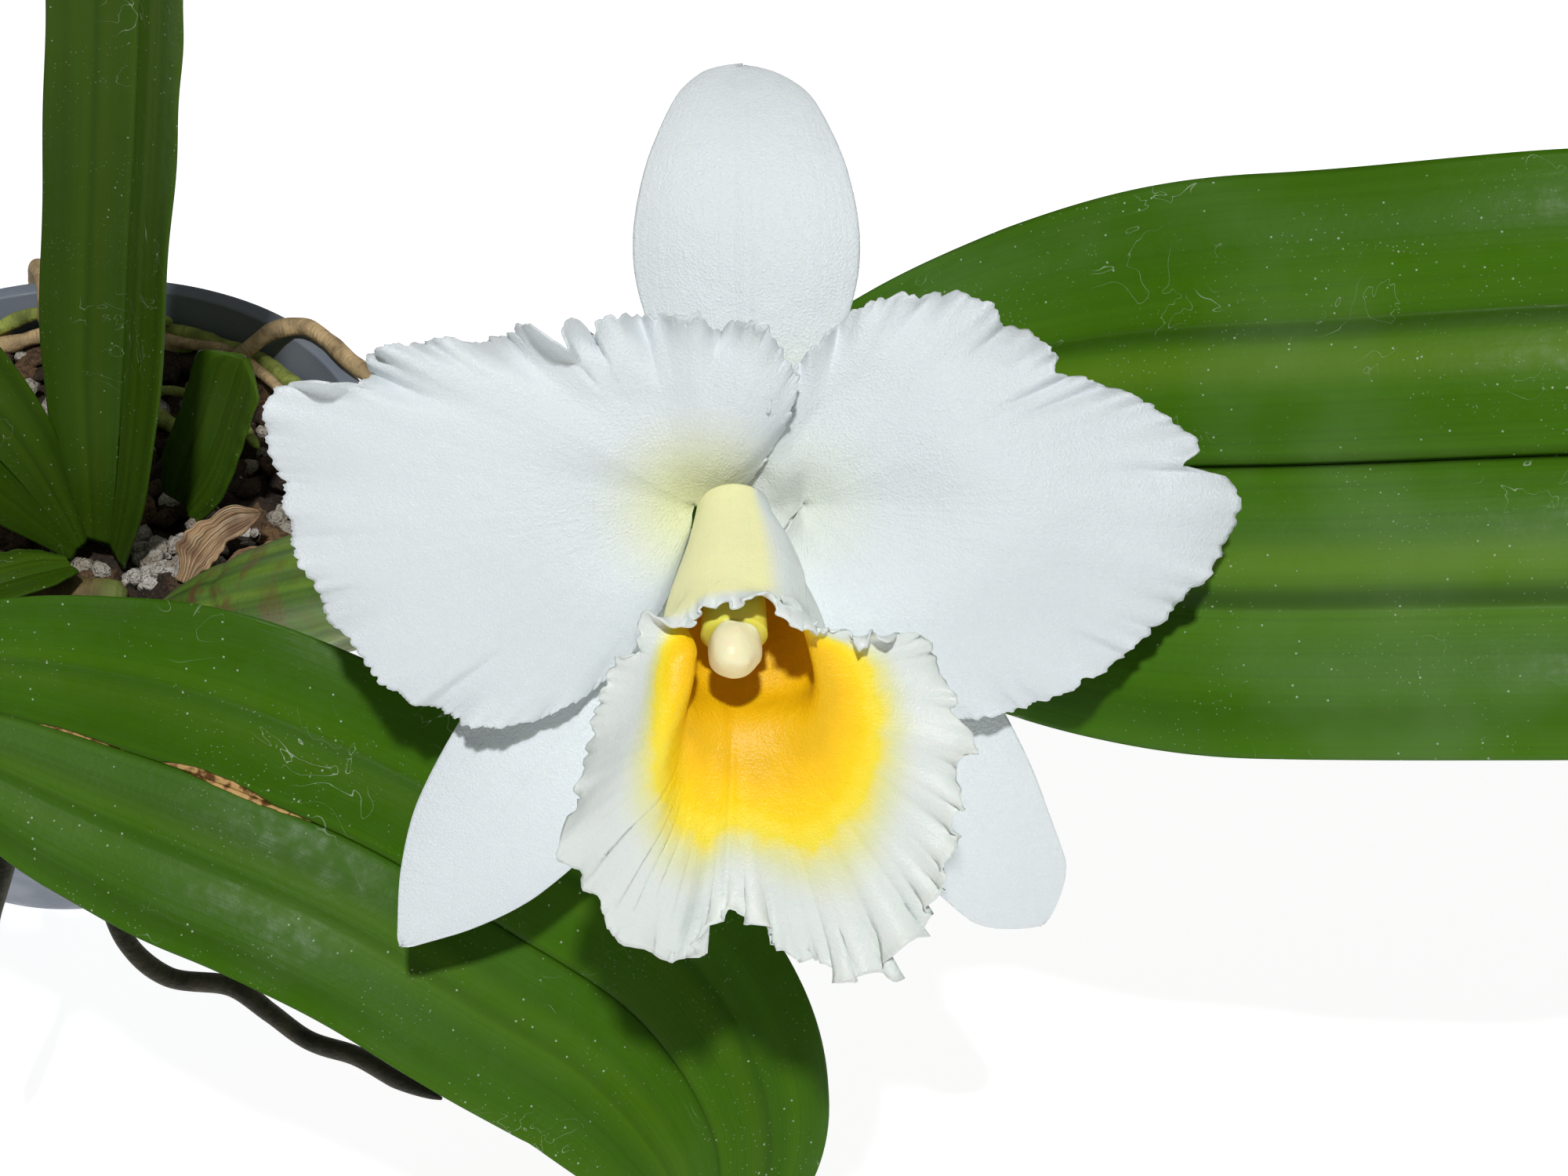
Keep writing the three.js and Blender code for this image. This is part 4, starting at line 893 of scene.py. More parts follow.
# the stage, in metres, degrees and shares of full white
FLOOR_HALF, FLOOR_GLOW = 4.0, 0.88
SENSOR_WIDTH, CLIP_START, EYE = 36.0, 0.01, (0.1384, -0.3188, 0.364)
KEY_AIM, KEY_DISTANCE, KEY_AZIMUTH, KEY_ELEVATION, KEY_SIZE = (0.134, -0.099, 0.159), 1.2, 3, 68, 0.07
OVERHEAD_PLACE, OVERHEAD_AIM, OVERHEAD_SIZE = (0.3, 0.3, 1.8), (0.1, 0.0, 0.0), 1.6


# ---------------------------------------------------------------- settings


def length(name, description, default, low=0.0001, high=1.0):
    """A setting that is a length in metres."""
    return FloatProperty(
        name=name, description=description, default=default, min=low, max=high, unit="LENGTH"
    )


def shade(name, description, code):
    """A setting that is a colour."""
    return FloatVectorProperty(
        name=name, description=description, default=colour(code), size=3, min=0.0, max=1.0, subtype="COLOR"
    )


def number(name, description, default):
    """A setting that is a number of small pieces."""
    return IntProperty(name=name, description=description, default=default, min=10, max=600)


def angle(name, description, degrees):
    """A setting that is an angle."""
    default = math.radians(degrees)
    return FloatProperty(name=name, description=description, default=default, subtype="ANGLE")


def power(name, description, default):
    """A setting that is a lamp's power in watts."""
    return FloatProperty(name=name, description=description, default=default, unit="POWER")


class OrchidPotSettings(bpy.types.PropertyGroup):
    """The pot and the mix in it."""

    rim_radius: length("Rim radius", "Outer radius of the pot at its mouth", POT_RIM * MM)
    base_radius: length("Base radius", "Outer radius of the pot's underside", POT_BASE * MM)
    height: length("Height", "Height of the pot", POT_HEIGHT * MM)
    plastic: shade("Plastic", "Colour of the pot", "767e8c")
    bark: shade("Bark", "Colour of the bark in the mix", "3f2e20")
    pumice: shade("Pumice", "Colour of the pale grains in the mix", "d2cdc4")
    chips: number("Chips", "Number of bark chips on the mix", 210)
    grains: number("Grains", "Number of pale grains on the mix", 320)


class OrchidPlantSettings(bpy.types.PropertyGroup):
    """Leaves, bulbs, sheaths and roots."""

    leaf: shade("Leaf", "Colour of the old leaves", "386006")
    young_leaf: shade("Young leaf", "Colour of the new growth's leaves", "39560a")
    bulb: shade("Bulb", "Colour of the pseudobulbs", "587a2c")
    sheath: shade("Sheath", "Colour of the dry sheaths", "bd9a72")
    root: shade("Root", "Colour of the dry roots", "b49a72")
    green_root: shade("Green root", "Colour of the roots that grow", "8d9846")
    dark_root: shade("Dark root", "Colour of the aerial roots", "373424")
    leaf_thickness: length("Leaf thickness", "Thickness of the old leaves along the middle", 0.002)
    root_radius: length("Root radius", "Radius of the roots in the pot", ROOT_RADIUS * MM)


class OrchidFlowerSettings(bpy.types.PropertyGroup):
    """The flower."""

    petal: shade("Petal", "Colour of the petals and sepals", "dae1e4")
    petal_foot: shade("Petal foot", "Colour at the foot of the petals", "dcdf98")
    lip: shade("Lip", "Colour of the lip's limb", "dde4e0")
    throat: shade("Throat", "Colour deep in the lip", "fcc600")
    hood: shade("Hood", "Colour round the back of the lip's tube", "f5f3b6")
    column: shade("Column", "Colour of the column's end", "f6efc4")
    stalk: shade("Stalk", "Colour of the flower's stalk", "6f9440")
    ruffle: length("Ruffle", "Height of the waves along the petals' edges", 0.0022, high=0.01)
    frill: length("Frill", "Height of the waves along the lip's edge", 0.003, high=0.01)
    petal_thickness: length("Petal thickness", "Thickness of the petals and sepals", 0.0008)
    elevation: angle("Elevation", "Angle above level that the flower looks", 42)
    turn: angle("Turn", "Angle to the right that the flower looks", 1)


class OrchidStageSettings(bpy.types.PropertyGroup):
    """Floor, light and camera."""

    floor: shade("Floor", "Colour of the floor", "cccccc")
    key: power("Key light", "Power of the main soft lamp", 12.5)
    fill: power("Fill light", "Power of the overhead lamp", 1.5)
    sky: FloatProperty(name="Sky", description="Strength of the even light", default=0.09, min=0.0)
    lens: FloatProperty(name="Lens", description="Focal length of the camera", default=54.0, unit="CAMERA")
    camera_elevation: angle("Camera elevation", "Angle that the camera looks down", 45)


# ---------------------------------------------------------------- pieces


def wall_at(z, rim=POT_RIM, base=POT_BASE, height=POT_HEIGHT):
    """The outer radius of the pot's wall at a height, below its band: a straight line from the base's
    radius to the rim's less the band's step."""
    return base + (rim - BAND_STEP - base) * z / height


class ORCHID_OT_pot(bpy.types.Operator):
    """Make the plastic pot"""

    bl_idname = "orchid.pot"
    bl_label = "Pot"
    bl_options = {"REGISTER", "UNDO"}

    def execute(self, context):
        settings = context.scene.orchid_pot
        rim, base, height = settings.rim_radius / MM, settings.base_radius / MM, settings.height / MM
        band = height - BAND_HEIGHT

        def wall(z):
            """The outer radius of the wall at a height."""
            return wall_at(z, rim, base, height)

        mouth, floor = wall(height) - POT_WALL, wall(POT_FLOOR) - POT_WALL
        # the edge of the mouth is round, 1 mm outside and 0.6 mm inside
        half_turn = np.radians(np.linspace(0, 180, 9))
        outer_round = [(rim - 1 + math.cos(a), height - 1 + math.sin(a)) for a in half_turn[:5]]
        inner_round = [
            (mouth + 0.6 + 0.6 * math.cos(a), height - 0.6 + 0.6 * math.sin(a)) for a in half_turn[4:]
        ]
        # a shallow groove makes a standing ring round the underside, and the wall starts from a round edge
        outside = [(0.01, 0), (base - 9, 0), (base - 8, 0.8), (base - 5, 0.8), (base - 4, 0)]
        outside += [(base - 1.5, 0), (base - 0.4, 0.4), (base, 1.5)]
        outside += [(wall(z), z) for z in np.linspace(3, band - BAND_STEP, 14)]
        # the rim's band steps out and widens evenly up to the mouth
        outside += [(wall(band - 1) + 0.6, band - 1.1), (wall(band) + BAND_STEP - 0.2, band - 0.3)]
        outside += [(wall(band) + BAND_STEP, band + 0.4)]
        outside += [
            (wall(band) + BAND_STEP + (rim - wall(band) - BAND_STEP) * t, band + (BAND_HEIGHT - 2) * t)
            for t in (0.3, 0.6, 0.9)
        ]
        inside = [(wall(z) - POT_WALL, z) for z in np.linspace(height - 2, POT_FLOOR + 2, 16)]
        inside += [(floor - 0.6, POT_FLOOR + 0.5), (floor - 2, POT_FLOOR), (0.01, POT_FLOOR)]
        pot = tube("pot_shell", turned(outside + outer_round + inner_round + inside, POT_SIDES))
        self.drill(pot)
        pot.data.set_sharp_from_angle(angle=math.radians(50))
        finished(pot, plastic_finish("moulded_plastic", tuple(settings.plastic)), "pot_plastic", "pot")
        return {"FINISHED"}

    @staticmethod
    def drill(pot):
        """Cuts the ring of drain holes through the floor."""
        cutters = []
        drill = [(DRAIN_RADIUS, -2), (DRAIN_RADIUS, POT_FLOOR + 2)]
        for i in range(DRAIN_HOLES):
            centre = np.array(polar(360 * i / DRAIN_HOLES, DRAIN_CIRCLE, 0))
            cutters.append(tube(f"drill_{i}", turned(drill, DRILL_SIDES) + centre))
        for cutter in cutters:
            cut = pot.modifiers.new("drain", "BOOLEAN")
            cut.operation, cut.solver, cut.object = "DIFFERENCE", "EXACT", cutter
        bpy.context.view_layer.update()
        cut_mesh = bpy.data.meshes.new_from_object(pot.evaluated_get(bpy.context.evaluated_depsgraph_get()))
        pot.modifiers.clear()
        pot.data = cut_mesh
        for cutter in cutters:
            bpy.data.objects.remove(cutter)


class ORCHID_OT_mix(bpy.types.Operator):
    """Make the potting mix with its bark chips and pale grains"""

    bl_idname = "orchid.mix"
    bl_label = "Potting mix"
    bl_options = {"REGISTER", "UNDO"}

    def execute(self, context):
        settings = context.scene.orchid_pot
        bark = bark_finish("broken_bark", tuple(settings.bark))
        edge = wall_at(MIX_TOP - MIX_SHOULDER) - POT_WALL - MIX_SLACK
        foot = POT_FLOOR + GAP
        shares = np.linspace(0.98, 0.02, MIX_RINGS)
        profile = [(0.01, foot), (wall_at(foot) - POT_WALL - MIX_SLACK, foot), (edge, MIX_TOP - MIX_SHOULDER)]
        profile += [(edge * s, MIX_TOP - 1.0) for s in shares]
        rings = turned(profile, MIX_SIDES)
        x, y = rings[3:, :, 0], rings[3:, :, 1]
        swells = 0.9 * np.sin(0.19 * x + 1.1) * np.cos(0.17 * y - 0.6)
        rings[3:, :, 2] += swells + 1.3 * wander(x * 0.7, y * 0.7, 3, 3)
        mix = tube("mix_bed", rings, tone=0.25 + 0.2 * wander(rings[..., 0], rings[..., 1], 4))
        finished(mix, bark, "bark", "potting_mix")

        rng = np.random.default_rng(11)
        count = settings.chips
        places = self.strewn(rng, count, edge - CHIP_SPREAD)
        places[:, 2] = MIX_TOP + rng.uniform(-0.6, 2.0, count)
        sizes = [rng.uniform(*span, count) for span in (CHIP_LENGTHS, CHIP_WIDTHS, CHIP_THICKS)]
        sizes = np.stack(sizes, 1)
        tips = [rng.normal(0, CHIP_TIP, count) for _ in range(2)]
        turns = np.stack([*tips, rng.uniform(0, 6.28, count)], 1)
        template, faces = lump(4, 8, 0.75)
        chips = scattered("bark_chips", template, faces, sizes, turns, places, 0.16, 12)
        finished(chips, bark, "bark", *[f"bark_chip_{i + 1}" for i in range(CHIPS_REPLACED)])

        count = settings.grains
        places = self.strewn(rng, count, edge - CHIP_SPREAD)
        near = count // 4  # a quarter of the grains lie together by the new growth
        places[:near, :2] = rng.normal(GRAIN_HEAP, HEAP_SPREAD, (near, 2))
        places[:, 2] = MIX_TOP + rng.uniform(0.2, 2.6, count)
        sizes = rng.uniform(*GRAIN_SIZES, (count, 1)) * rng.uniform(0.75, 1.2, (count, 3))
        turns = rng.uniform(0, 6.28, (count, 3))
        template, faces = lump(4, 7, 0.25)
        grains = scattered("pumice_grains", template, faces, sizes, turns, places, 0.2, 13)
        pale = pumice_finish("porous_grain", tuple(settings.pumice))
        finished(grains, pale, "pumice", *[f"pumice_{i + 1}" for i in range(GRAINS_REPLACED)])
        return {"FINISHED"}

    @staticmethod
    def strewn(rng, count, reach):
        """Random points on a level disc: an even angle, and the reach times the root of an even share."""
        angles, shares = rng.uniform(0, 360, count), rng.uniform(0, 1, count)
        return np.array([polar(a, reach * math.sqrt(r), 0) for a, r in zip(angles, shares)])


def bulb_path(bulb, count=BULB_ROWS):
    """The middle line of a pseudobulb, from its foot through its bowed middle to its top."""
    lean = math.atan2(bulb["top"][2] - bulb["over"], math.dist(bulb["top"][:2], bulb["foot"]))
    low = np.array([*bulb["foot"], bulb["over"] + BULB_NECK * math.cos(lean) + GAP])
    high = np.array(bulb["top"], float)
    middle = (low + high) / 2 + np.array(bulb["bow"])
    return through([low, middle, high], count)


def bulb_radius(most, t):
    """The neck's radius at both ends, swelling by a sine to the greatest one a little below the middle."""
    swell = np.sin(math.pi * np.clip(t, 0, 1)) ** 0.8
    return BULB_NECK + (most - BULB_NECK) * swell * (1.12 - 0.24 * t)


class ORCHID_OT_bulbs(bpy.types.Operator):
    """Make the rhizome and the pseudobulbs"""

    bl_idname = "orchid.bulbs"
    bl_label = "Bulbs"
    bl_options = {"REGISTER", "UNDO"}

    def execute(self, context):
        green = bulb_finish("furrowed_bulb", tuple(context.scene.orchid_plant.bulb))
        turn = round_turn(BULB_SIDES)
        for k, (name, bulb) in enumerate(BULBS.items()):
            path = bulb_path(bulb)
            t = np.linspace(0, 1, len(path))[:, None]
            furrows = 1 + 0.045 * np.cos(9 * turn + 1.3 * np.sin(3 * t)) * np.sin(math.pi * t) ** 0.5
            nodes = 1 - 0.06 * bump_at(t, 0.22, 0.02) - 0.05 * bump_at(t, 0.5, 0.02)
            radius = bulb_radius(bulb["radius"], t) * furrows * nodes
            radius = radius + 0.25 * wander(6 * t, 2 * np.cos(turn), k)
            radius = radius * rounded(t, 40, 0.2) * rounded(1 - t, 40, 0.2)
            piece = tube(name + "_fine", rod(path, radius, BULB_SIDES) + ON_GROUND)
            finished(piece, green, "bulb_green", name)
        path = through(RHIZOME_PATH, RHIZOME_ROWS)
        t = np.linspace(0, 1, RHIZOME_ROWS)[:, None]
        rings = 0.35 * np.abs(np.sin(38 * t)) ** 0.5
        radius = RHIZOME_RADIUS * (1 - 0.25 * np.abs(2 * t - 1) ** 4) - 0.35 + rings
        radius = radius * rounded(0.5 - np.abs(t - 0.5), 40, 0.15)
        radius = radius + 0.2 * wander(30 * t, 2 * np.cos(turn), 9)
        woody = root_finish("woody_rhizome", colour("6a5a35"), colour("6f7a3a"))
        piece = tube("rhizome_fine", rod(path, radius, BULB_SIDES) + ON_GROUND)
        finished(piece, woody, "rhizome_brown", "rhizome")
        return {"FINISHED"}


class ORCHID_OT_sheaths(bpy.types.Operator):
    """Make the dry papery sheaths and husks round the bulbs"""

    bl_idname = "orchid.sheaths"
    bl_label = "Dry sheaths"
    bl_options = {"REGISTER", "UNDO"}

    def execute(self, context):
        dry = papery_finish("dry_paper", tuple(context.scene.orchid_plant.sheath))
        for k, (name, sheath) in enumerate(SHEATHS.items()):
            piece = sheet(name + "_fine", self.wrapped(sheath, k) + ON_GROUND, SHEATH_THICK)
            finished(piece, dry, "dry_sheath", name)
        rows, columns = HUSK_GRID
        for k, (name, husk) in enumerate(HUSKS.items()):
            middle = leaf_middle(through(husk["path"], rows), husk, columns, 50 + k, ragged=0.5)
            finished(sheet(name + "_fine", middle + ON_GROUND, HUSK_THICK), dry, "dry_sheath", name)
        return {"FINISHED"}

    @staticmethod
    def wrapped(sheath, k):
        """A torn wrap round part of a bulb: at each share along and angle round, the bulb's radius plus
        a gap, a flare that grows by the square, and wrinkles."""
        bulb = BULBS[sheath["bulb"]]
        path = bulb_path(bulb, SHEATH_STEPS + 1)
        ahead = unit(np.gradient(path, axis=0))
        t, q = rows_and_columns(*SHEATH_GRID)
        torn = 1 - 0.35 * q * q - 0.22 * np.abs(wander(9 * q, 0, 20 + k, 3)) * t
        along = sheath["start"] + (sheath["end"] - sheath["start"]) * t * torn
        place = np.clip(along * SHEATH_STEPS, 0, SHEATH_STEPS - 0.001)
        low = place.astype(int)
        share = (place - low)[..., None]
        centre = path[low] * (1 - share) + path[low + 1] * share
        axis = unit(ahead[low])
        side = unit(np.cross(axis, np.array([0.0, 0.0, 1.0])))
        up = np.cross(side, axis)
        angle = math.radians(sheath["middle"]) + q * math.radians(sheath["wrap"]) * (1 - 0.4 * t)
        off = bulb_radius(bulb["radius"], along) + SHEATH_GAP + sheath["flare"] * t * t
        off = off + 0.5 * wander(8 * q, 3 * t, 30 + k, 3) * t + 0.2 * np.sin(30 * q)
        return centre + (np.cos(angle) * off)[..., None] * side + (np.sin(angle) * off)[..., None] * up


def strap_outline(shape, t):
    """A strap leaf's half width, as a share of its greatest: a narrow foot that widens by a sine, then
    full, then a round tip."""
    grown = shape["foot"] + (1 - shape["foot"]) * np.sin(math.pi / 2 * np.clip(t / shape["full"], 0, 1))
    end = np.clip((t - shape["closing"]) / (1 - shape["closing"]), 0, 1)
    return grown * np.maximum(np.sqrt(np.maximum(1 - end**2.3, 0)), 0.03)


def leaf_middle(path, leaf, columns, seed, ragged=0.0):
    """The middle surface of a strap leaf: across its path it folds up from the middle, with a rounded
    pleat at each quarter, a narrow groove down the middle, fine ribs, and slow waves along its edges."""
    shape = leaf["shape"]

    def half(t):
        """Half the width, made uneven where the edge is ragged."""
        uneven = 1 + ragged * 0.4 * wander(14 * t, 0, seed, 3)
        return shape["width"] / 2 * strap_outline(shape, t) * uneven

    def rise(q, t):
        """The height over the flat blade: fold, pleats, groove, ribs and waves."""
        width = half(t)
        fold = width * shape["fold"] * np.hypot(q, 0.1)
        pleat = shape["pleat"] * np.abs(np.sin(2 * math.pi * q)) * strap_outline(shape, t)
        groove = -0.02 * width * bump_at(q, 0, 0.025)
        ribs = 0.0008 * width * np.sin(34 * math.pi * q)
        waves = 0.03 * width * wander(5 * t, 1.5 * q, seed) * (0.3 + q * q)
        edge = 0.02 * width * np.abs(q) ** 6 * np.sin(40 * t + 5 * wander(4 * t, q, seed + 1))
        return fold + pleat + groove + ribs + waves + edge + ragged * 0.8 * wander(6 * t, 4 * q, seed + 2)

    return blade(path, leaf["facing"], leaf["facing_tip"], half, rise, columns)


def end_of(bulb, side_step):
    """Where something grows from the end of a bulb: two points beyond it, off its middle by a side step
    towards the flower."""
    path = bulb_path(bulb)
    axis = unit(path[-1] - path[-2])
    front = unit(FLOWER_FROM_BULB - axis * (FLOWER_FROM_BULB @ axis))
    start = np.array(bulb["top"]) + axis * 2 * GAP + front * side_step
    return [start, start + axis * END_STEP]


class ORCHID_OT_leaves(bpy.types.Operator):
    """Make the broad leaves on the bulbs"""

    bl_idname = "orchid.leaves"
    bl_label = "Leaves"
    bl_options = {"REGISTER", "UNDO"}

    def execute(self, context):
        settings = context.scene.orchid_plant
        green = tuple(settings.leaf)
        plain = leaf_finish("leathery_leaf", green)
        # the right leaf: a lighter copy of the leaf colour, more dust haze, and stronger painted shade and
        # painted highlight on its pleats
        dusty = leaf_finish("dusty_leaf_painted_pleat_shading", shaded(green, 1.2), haze=0.09, painted_pleat_shading=0.42)
        finishes = {"leaf_right": dusty}
        finishes["leaf_front"] = leaf_finish(
            "scarred_leaf",
            green,
            [(0.49, 0.25, 0.045, 0.012), (0.485, 0.37, 0.05, 0.016)]
            + [(0.51, 0.4, 0.065, 0.012), (0.5, 0.56, 0.05, 0.009)],
        )
        rows, columns = LEAF_GRID
        q = np.linspace(-1, 1, columns)
        thick = settings.leaf_thickness / MM * (1 - 0.75 * q**4)
        for k, (name, leaf) in enumerate(LEAVES.items()):
            bulb = BULBS[leaf["bulb"]]
            steps = [np.array(bulb["top"]) + step for step in leaf["steps"]]
            path = through([*end_of(bulb, LEAF_SIDE_STEP), *steps], rows)
            piece = sheet(name + "_fine", leaf_middle(path, leaf, columns, 60 + k) + ON_GROUND, thick)
            finished(piece, finishes.get(name, plain), "leaf_green", name)
        return {"FINISHED"}


class ORCHID_OT_new_growth(bpy.types.Operator):
    """Make the fan of young leaves"""

    bl_idname = "orchid.new_growth"
    bl_label = "New growth"
    bl_options = {"REGISTER", "UNDO"}

    def execute(self, context):
        green = leaf_finish("young_leaf", tuple(context.scene.orchid_plant.young_leaf))
        rows, columns = FAN_GRID
        thick = FAN_THICK * (1 - 0.7 * np.linspace(-1, 1, columns) ** 4)
        for k, (name, leaf) in enumerate(FAN.items()):
            middle = leaf_middle(through(leaf["path"], rows), leaf, columns, 80 + k) + ON_GROUND
            finished(sheet(name + "_fine", middle, thick), green, "young_green", name)
        return {"FINISHED"}


def aerial_path(root):
    """A root that starts on the mix, crosses the rim level and then follows its steps."""
    level = POT_HEIGHT + root["radius"] + 4 * GAP
    over = polar(root["crossing"], RIM_MIDDLE, level)
    before = polar(root["crossing"], RIM_MIDDLE - 3 * root["radius"], level)
    start = [root["inside"][0], root["inside"][1], root["inside"][2] + GROUND]
    return [start, before, over, *[list(np.array(over) + step) for step in root["steps"]]]


class ORCHID_OT_roots(bpy.types.Operator):
    """Make the roots in the pot, over its rim and in the air"""

    bl_idname = "orchid.roots"
    bl_label = "Roots"
    bl_options = {"REGISTER", "UNDO"}

    def execute(self, context):
        settings = context.scene.orchid_plant
        tan = root_finish("dry_root", tuple(settings.root), colour("7f9a3c"))
        green = root_finish("green_root", tuple(settings.green_root), colour("9ab54a"))
        dark = root_finish("dark_root", tuple(settings.dark_root), colour("2a281c"))
        tans = ("root_over_rim_right", "root_over_rim_left", "root_round_left")
        radius = settings.root_radius / MM
        for k, (name, points) in enumerate(ROOTS.items()):
            rings = self.root(points, radius, 0.14, 100 + k)
            slot = "root_tan" if name in tans else "root_green"
            finished(tube(name + "_fine", rings), tan if name in tans else green, slot, name)
        for k, (name, points) in enumerate(LOOSE_ROOTS.items()):
            rings = self.root(points, radius * (0.95 - 0.12 * k), 0.16, 110 + k)
            finished(tube(name, rings), green if k % 2 else tan, "root_green" if k % 2 else "root_tan")
        for k, (name, root) in enumerate(AERIAL_ROOTS.items()):
            rings = self.root(aerial_path(root), root["radius"], 0.07, 120 + k)
            finished(tube(name + "_fine", rings), dark, "root_dark", name)
        return {"FINISHED"}

    @staticmethod
    def root(points, radius, unevenness, seed):
        """Rings of a root: its radius wavers along and round it, and rounds off over its last part."""
        rows, sides = ROOT_GRID
        t = np.linspace(0, 1, rows)[:, None]
        uneven = 1 + unevenness * wander(26 * t, 1.4 * np.cos(round_turn(sides)), seed, 3)
        ends = rounded(1 - t, 16, 0, 0.02) * rounded(t, 60, 0.2)
        return rod(through(points, rows), radius * uneven * ends, sides)


# ---------------------------------------------------------------- flower


def flower_place(points, settings):
    """Points given as right, up and out of the flower's face, moved into the pot's frame."""
    e, a = settings.elevation, settings.turn
    out = np.array([math.cos(e) * math.sin(a), -math.cos(e) * math.cos(a), math.sin(e)])
    up = np.array([-math.sin(e) * math.sin(a), math.sin(e) * math.cos(a), math.cos(e)])
    right = np.cross(up, out)
    middle = np.array(BULBS["pseudobulb_flowering"]["top"]) + FLOWER_FROM_BULB + ON_GROUND
    return middle + points @ np.stack([right, up, out])


def lip_place(points, settings):
    """Points given as right, up and along the lip's tube, moved into the pot's frame."""
    c, s = math.cos(LIP_TILT), math.sin(LIP_TILT)
    x, y, z = np.moveaxis(points, -1, 0)
    return flower_place(point(x, y * c - z * s, y * s + z * c) + LIP_START, settings)


class ORCHID_OT_sepals(bpy.types.Operator):
    """Make the three sepals"""

    bl_idname = "orchid.sepals"
    bl_label = "Sepals"
    bl_options = {"REGISTER", "UNDO"}

    def execute(self, context):
        settings = context.scene.orchid_flower
        white = tepal_finish("white_sepal", tuple(settings.petal), tuple(settings.petal_foot))
        t, q = rows_and_columns(*SEPAL_GRID)
        thick = settings.petal_thickness / MM * (1.25 - 0.85 * q**2) * (1.2 - 0.5 * t)
        foot = 0.35 * smooth(0.35, 0, t)
        for k, (name, sepal) in enumerate(SEPALS.items()):
            middle = flower_place(self.sepal(sepal, 140 + k), settings)
            finished(sheet(name + "_fine", middle, thick, tint=foot), white, "tepal_white", name)
        return {"FINISHED"}

    @staticmethod
    def sepal(sepal, seed):
        """A blade along a path that leaves the flower's middle at the sepal's angle. The path's slope
        goes from lift to curl by a power of the share along, and the blade bows back at its edges."""
        rows, columns = SEPAL_GRID
        share = (np.arange(rows) + 0.5) / rows
        slope = np.radians(sepal["lift"] + (sepal["curl"] - sepal["lift"]) * share**2.2)
        step = sepal["length"] / (rows - 1)
        out = SEPAL_START + np.concatenate([[0], np.cumsum(np.cos(slope) * step)[:-1]])
        z = SEPAL_LAYER + np.concatenate([[0], np.cumsum(np.sin(slope) * step)[:-1]])
        angle = math.radians(sepal["angle"])
        path = point(math.sin(angle) * out, math.cos(angle) * out, z)

        def half(t):
            """Half the width: the outline, closed by part of a circle at the tip."""
            outline = SEPAL_OUTLINE(t) + (sepal["tip"] - 0.22) * smooth(0.75, 1, t)
            near = np.clip((1 - t) * sepal["blunt"], 0.0015, 1)
            return sepal["width"] / 2 * outline * np.sqrt(near * (2 - near))

        def rise(q, t):
            """The height over the flat blade: bow, keel, veins and slow waves."""
            bow = -1.4 * q * q * np.sin(math.pi * t)
            keel = 0.45 * bump_at(q, 0, 0.05) * (1 - t)
            veins = 0.035 * np.sin(26 * math.pi * q) * smooth(1, 0.8, t)
            return bow + keel + veins + 0.5 * wander(5 * t, 2.2 * q, seed) * (0.3 + q * q)

        return blade(path, [0, 0, 1], [0, 0, 1], half, rise, columns)


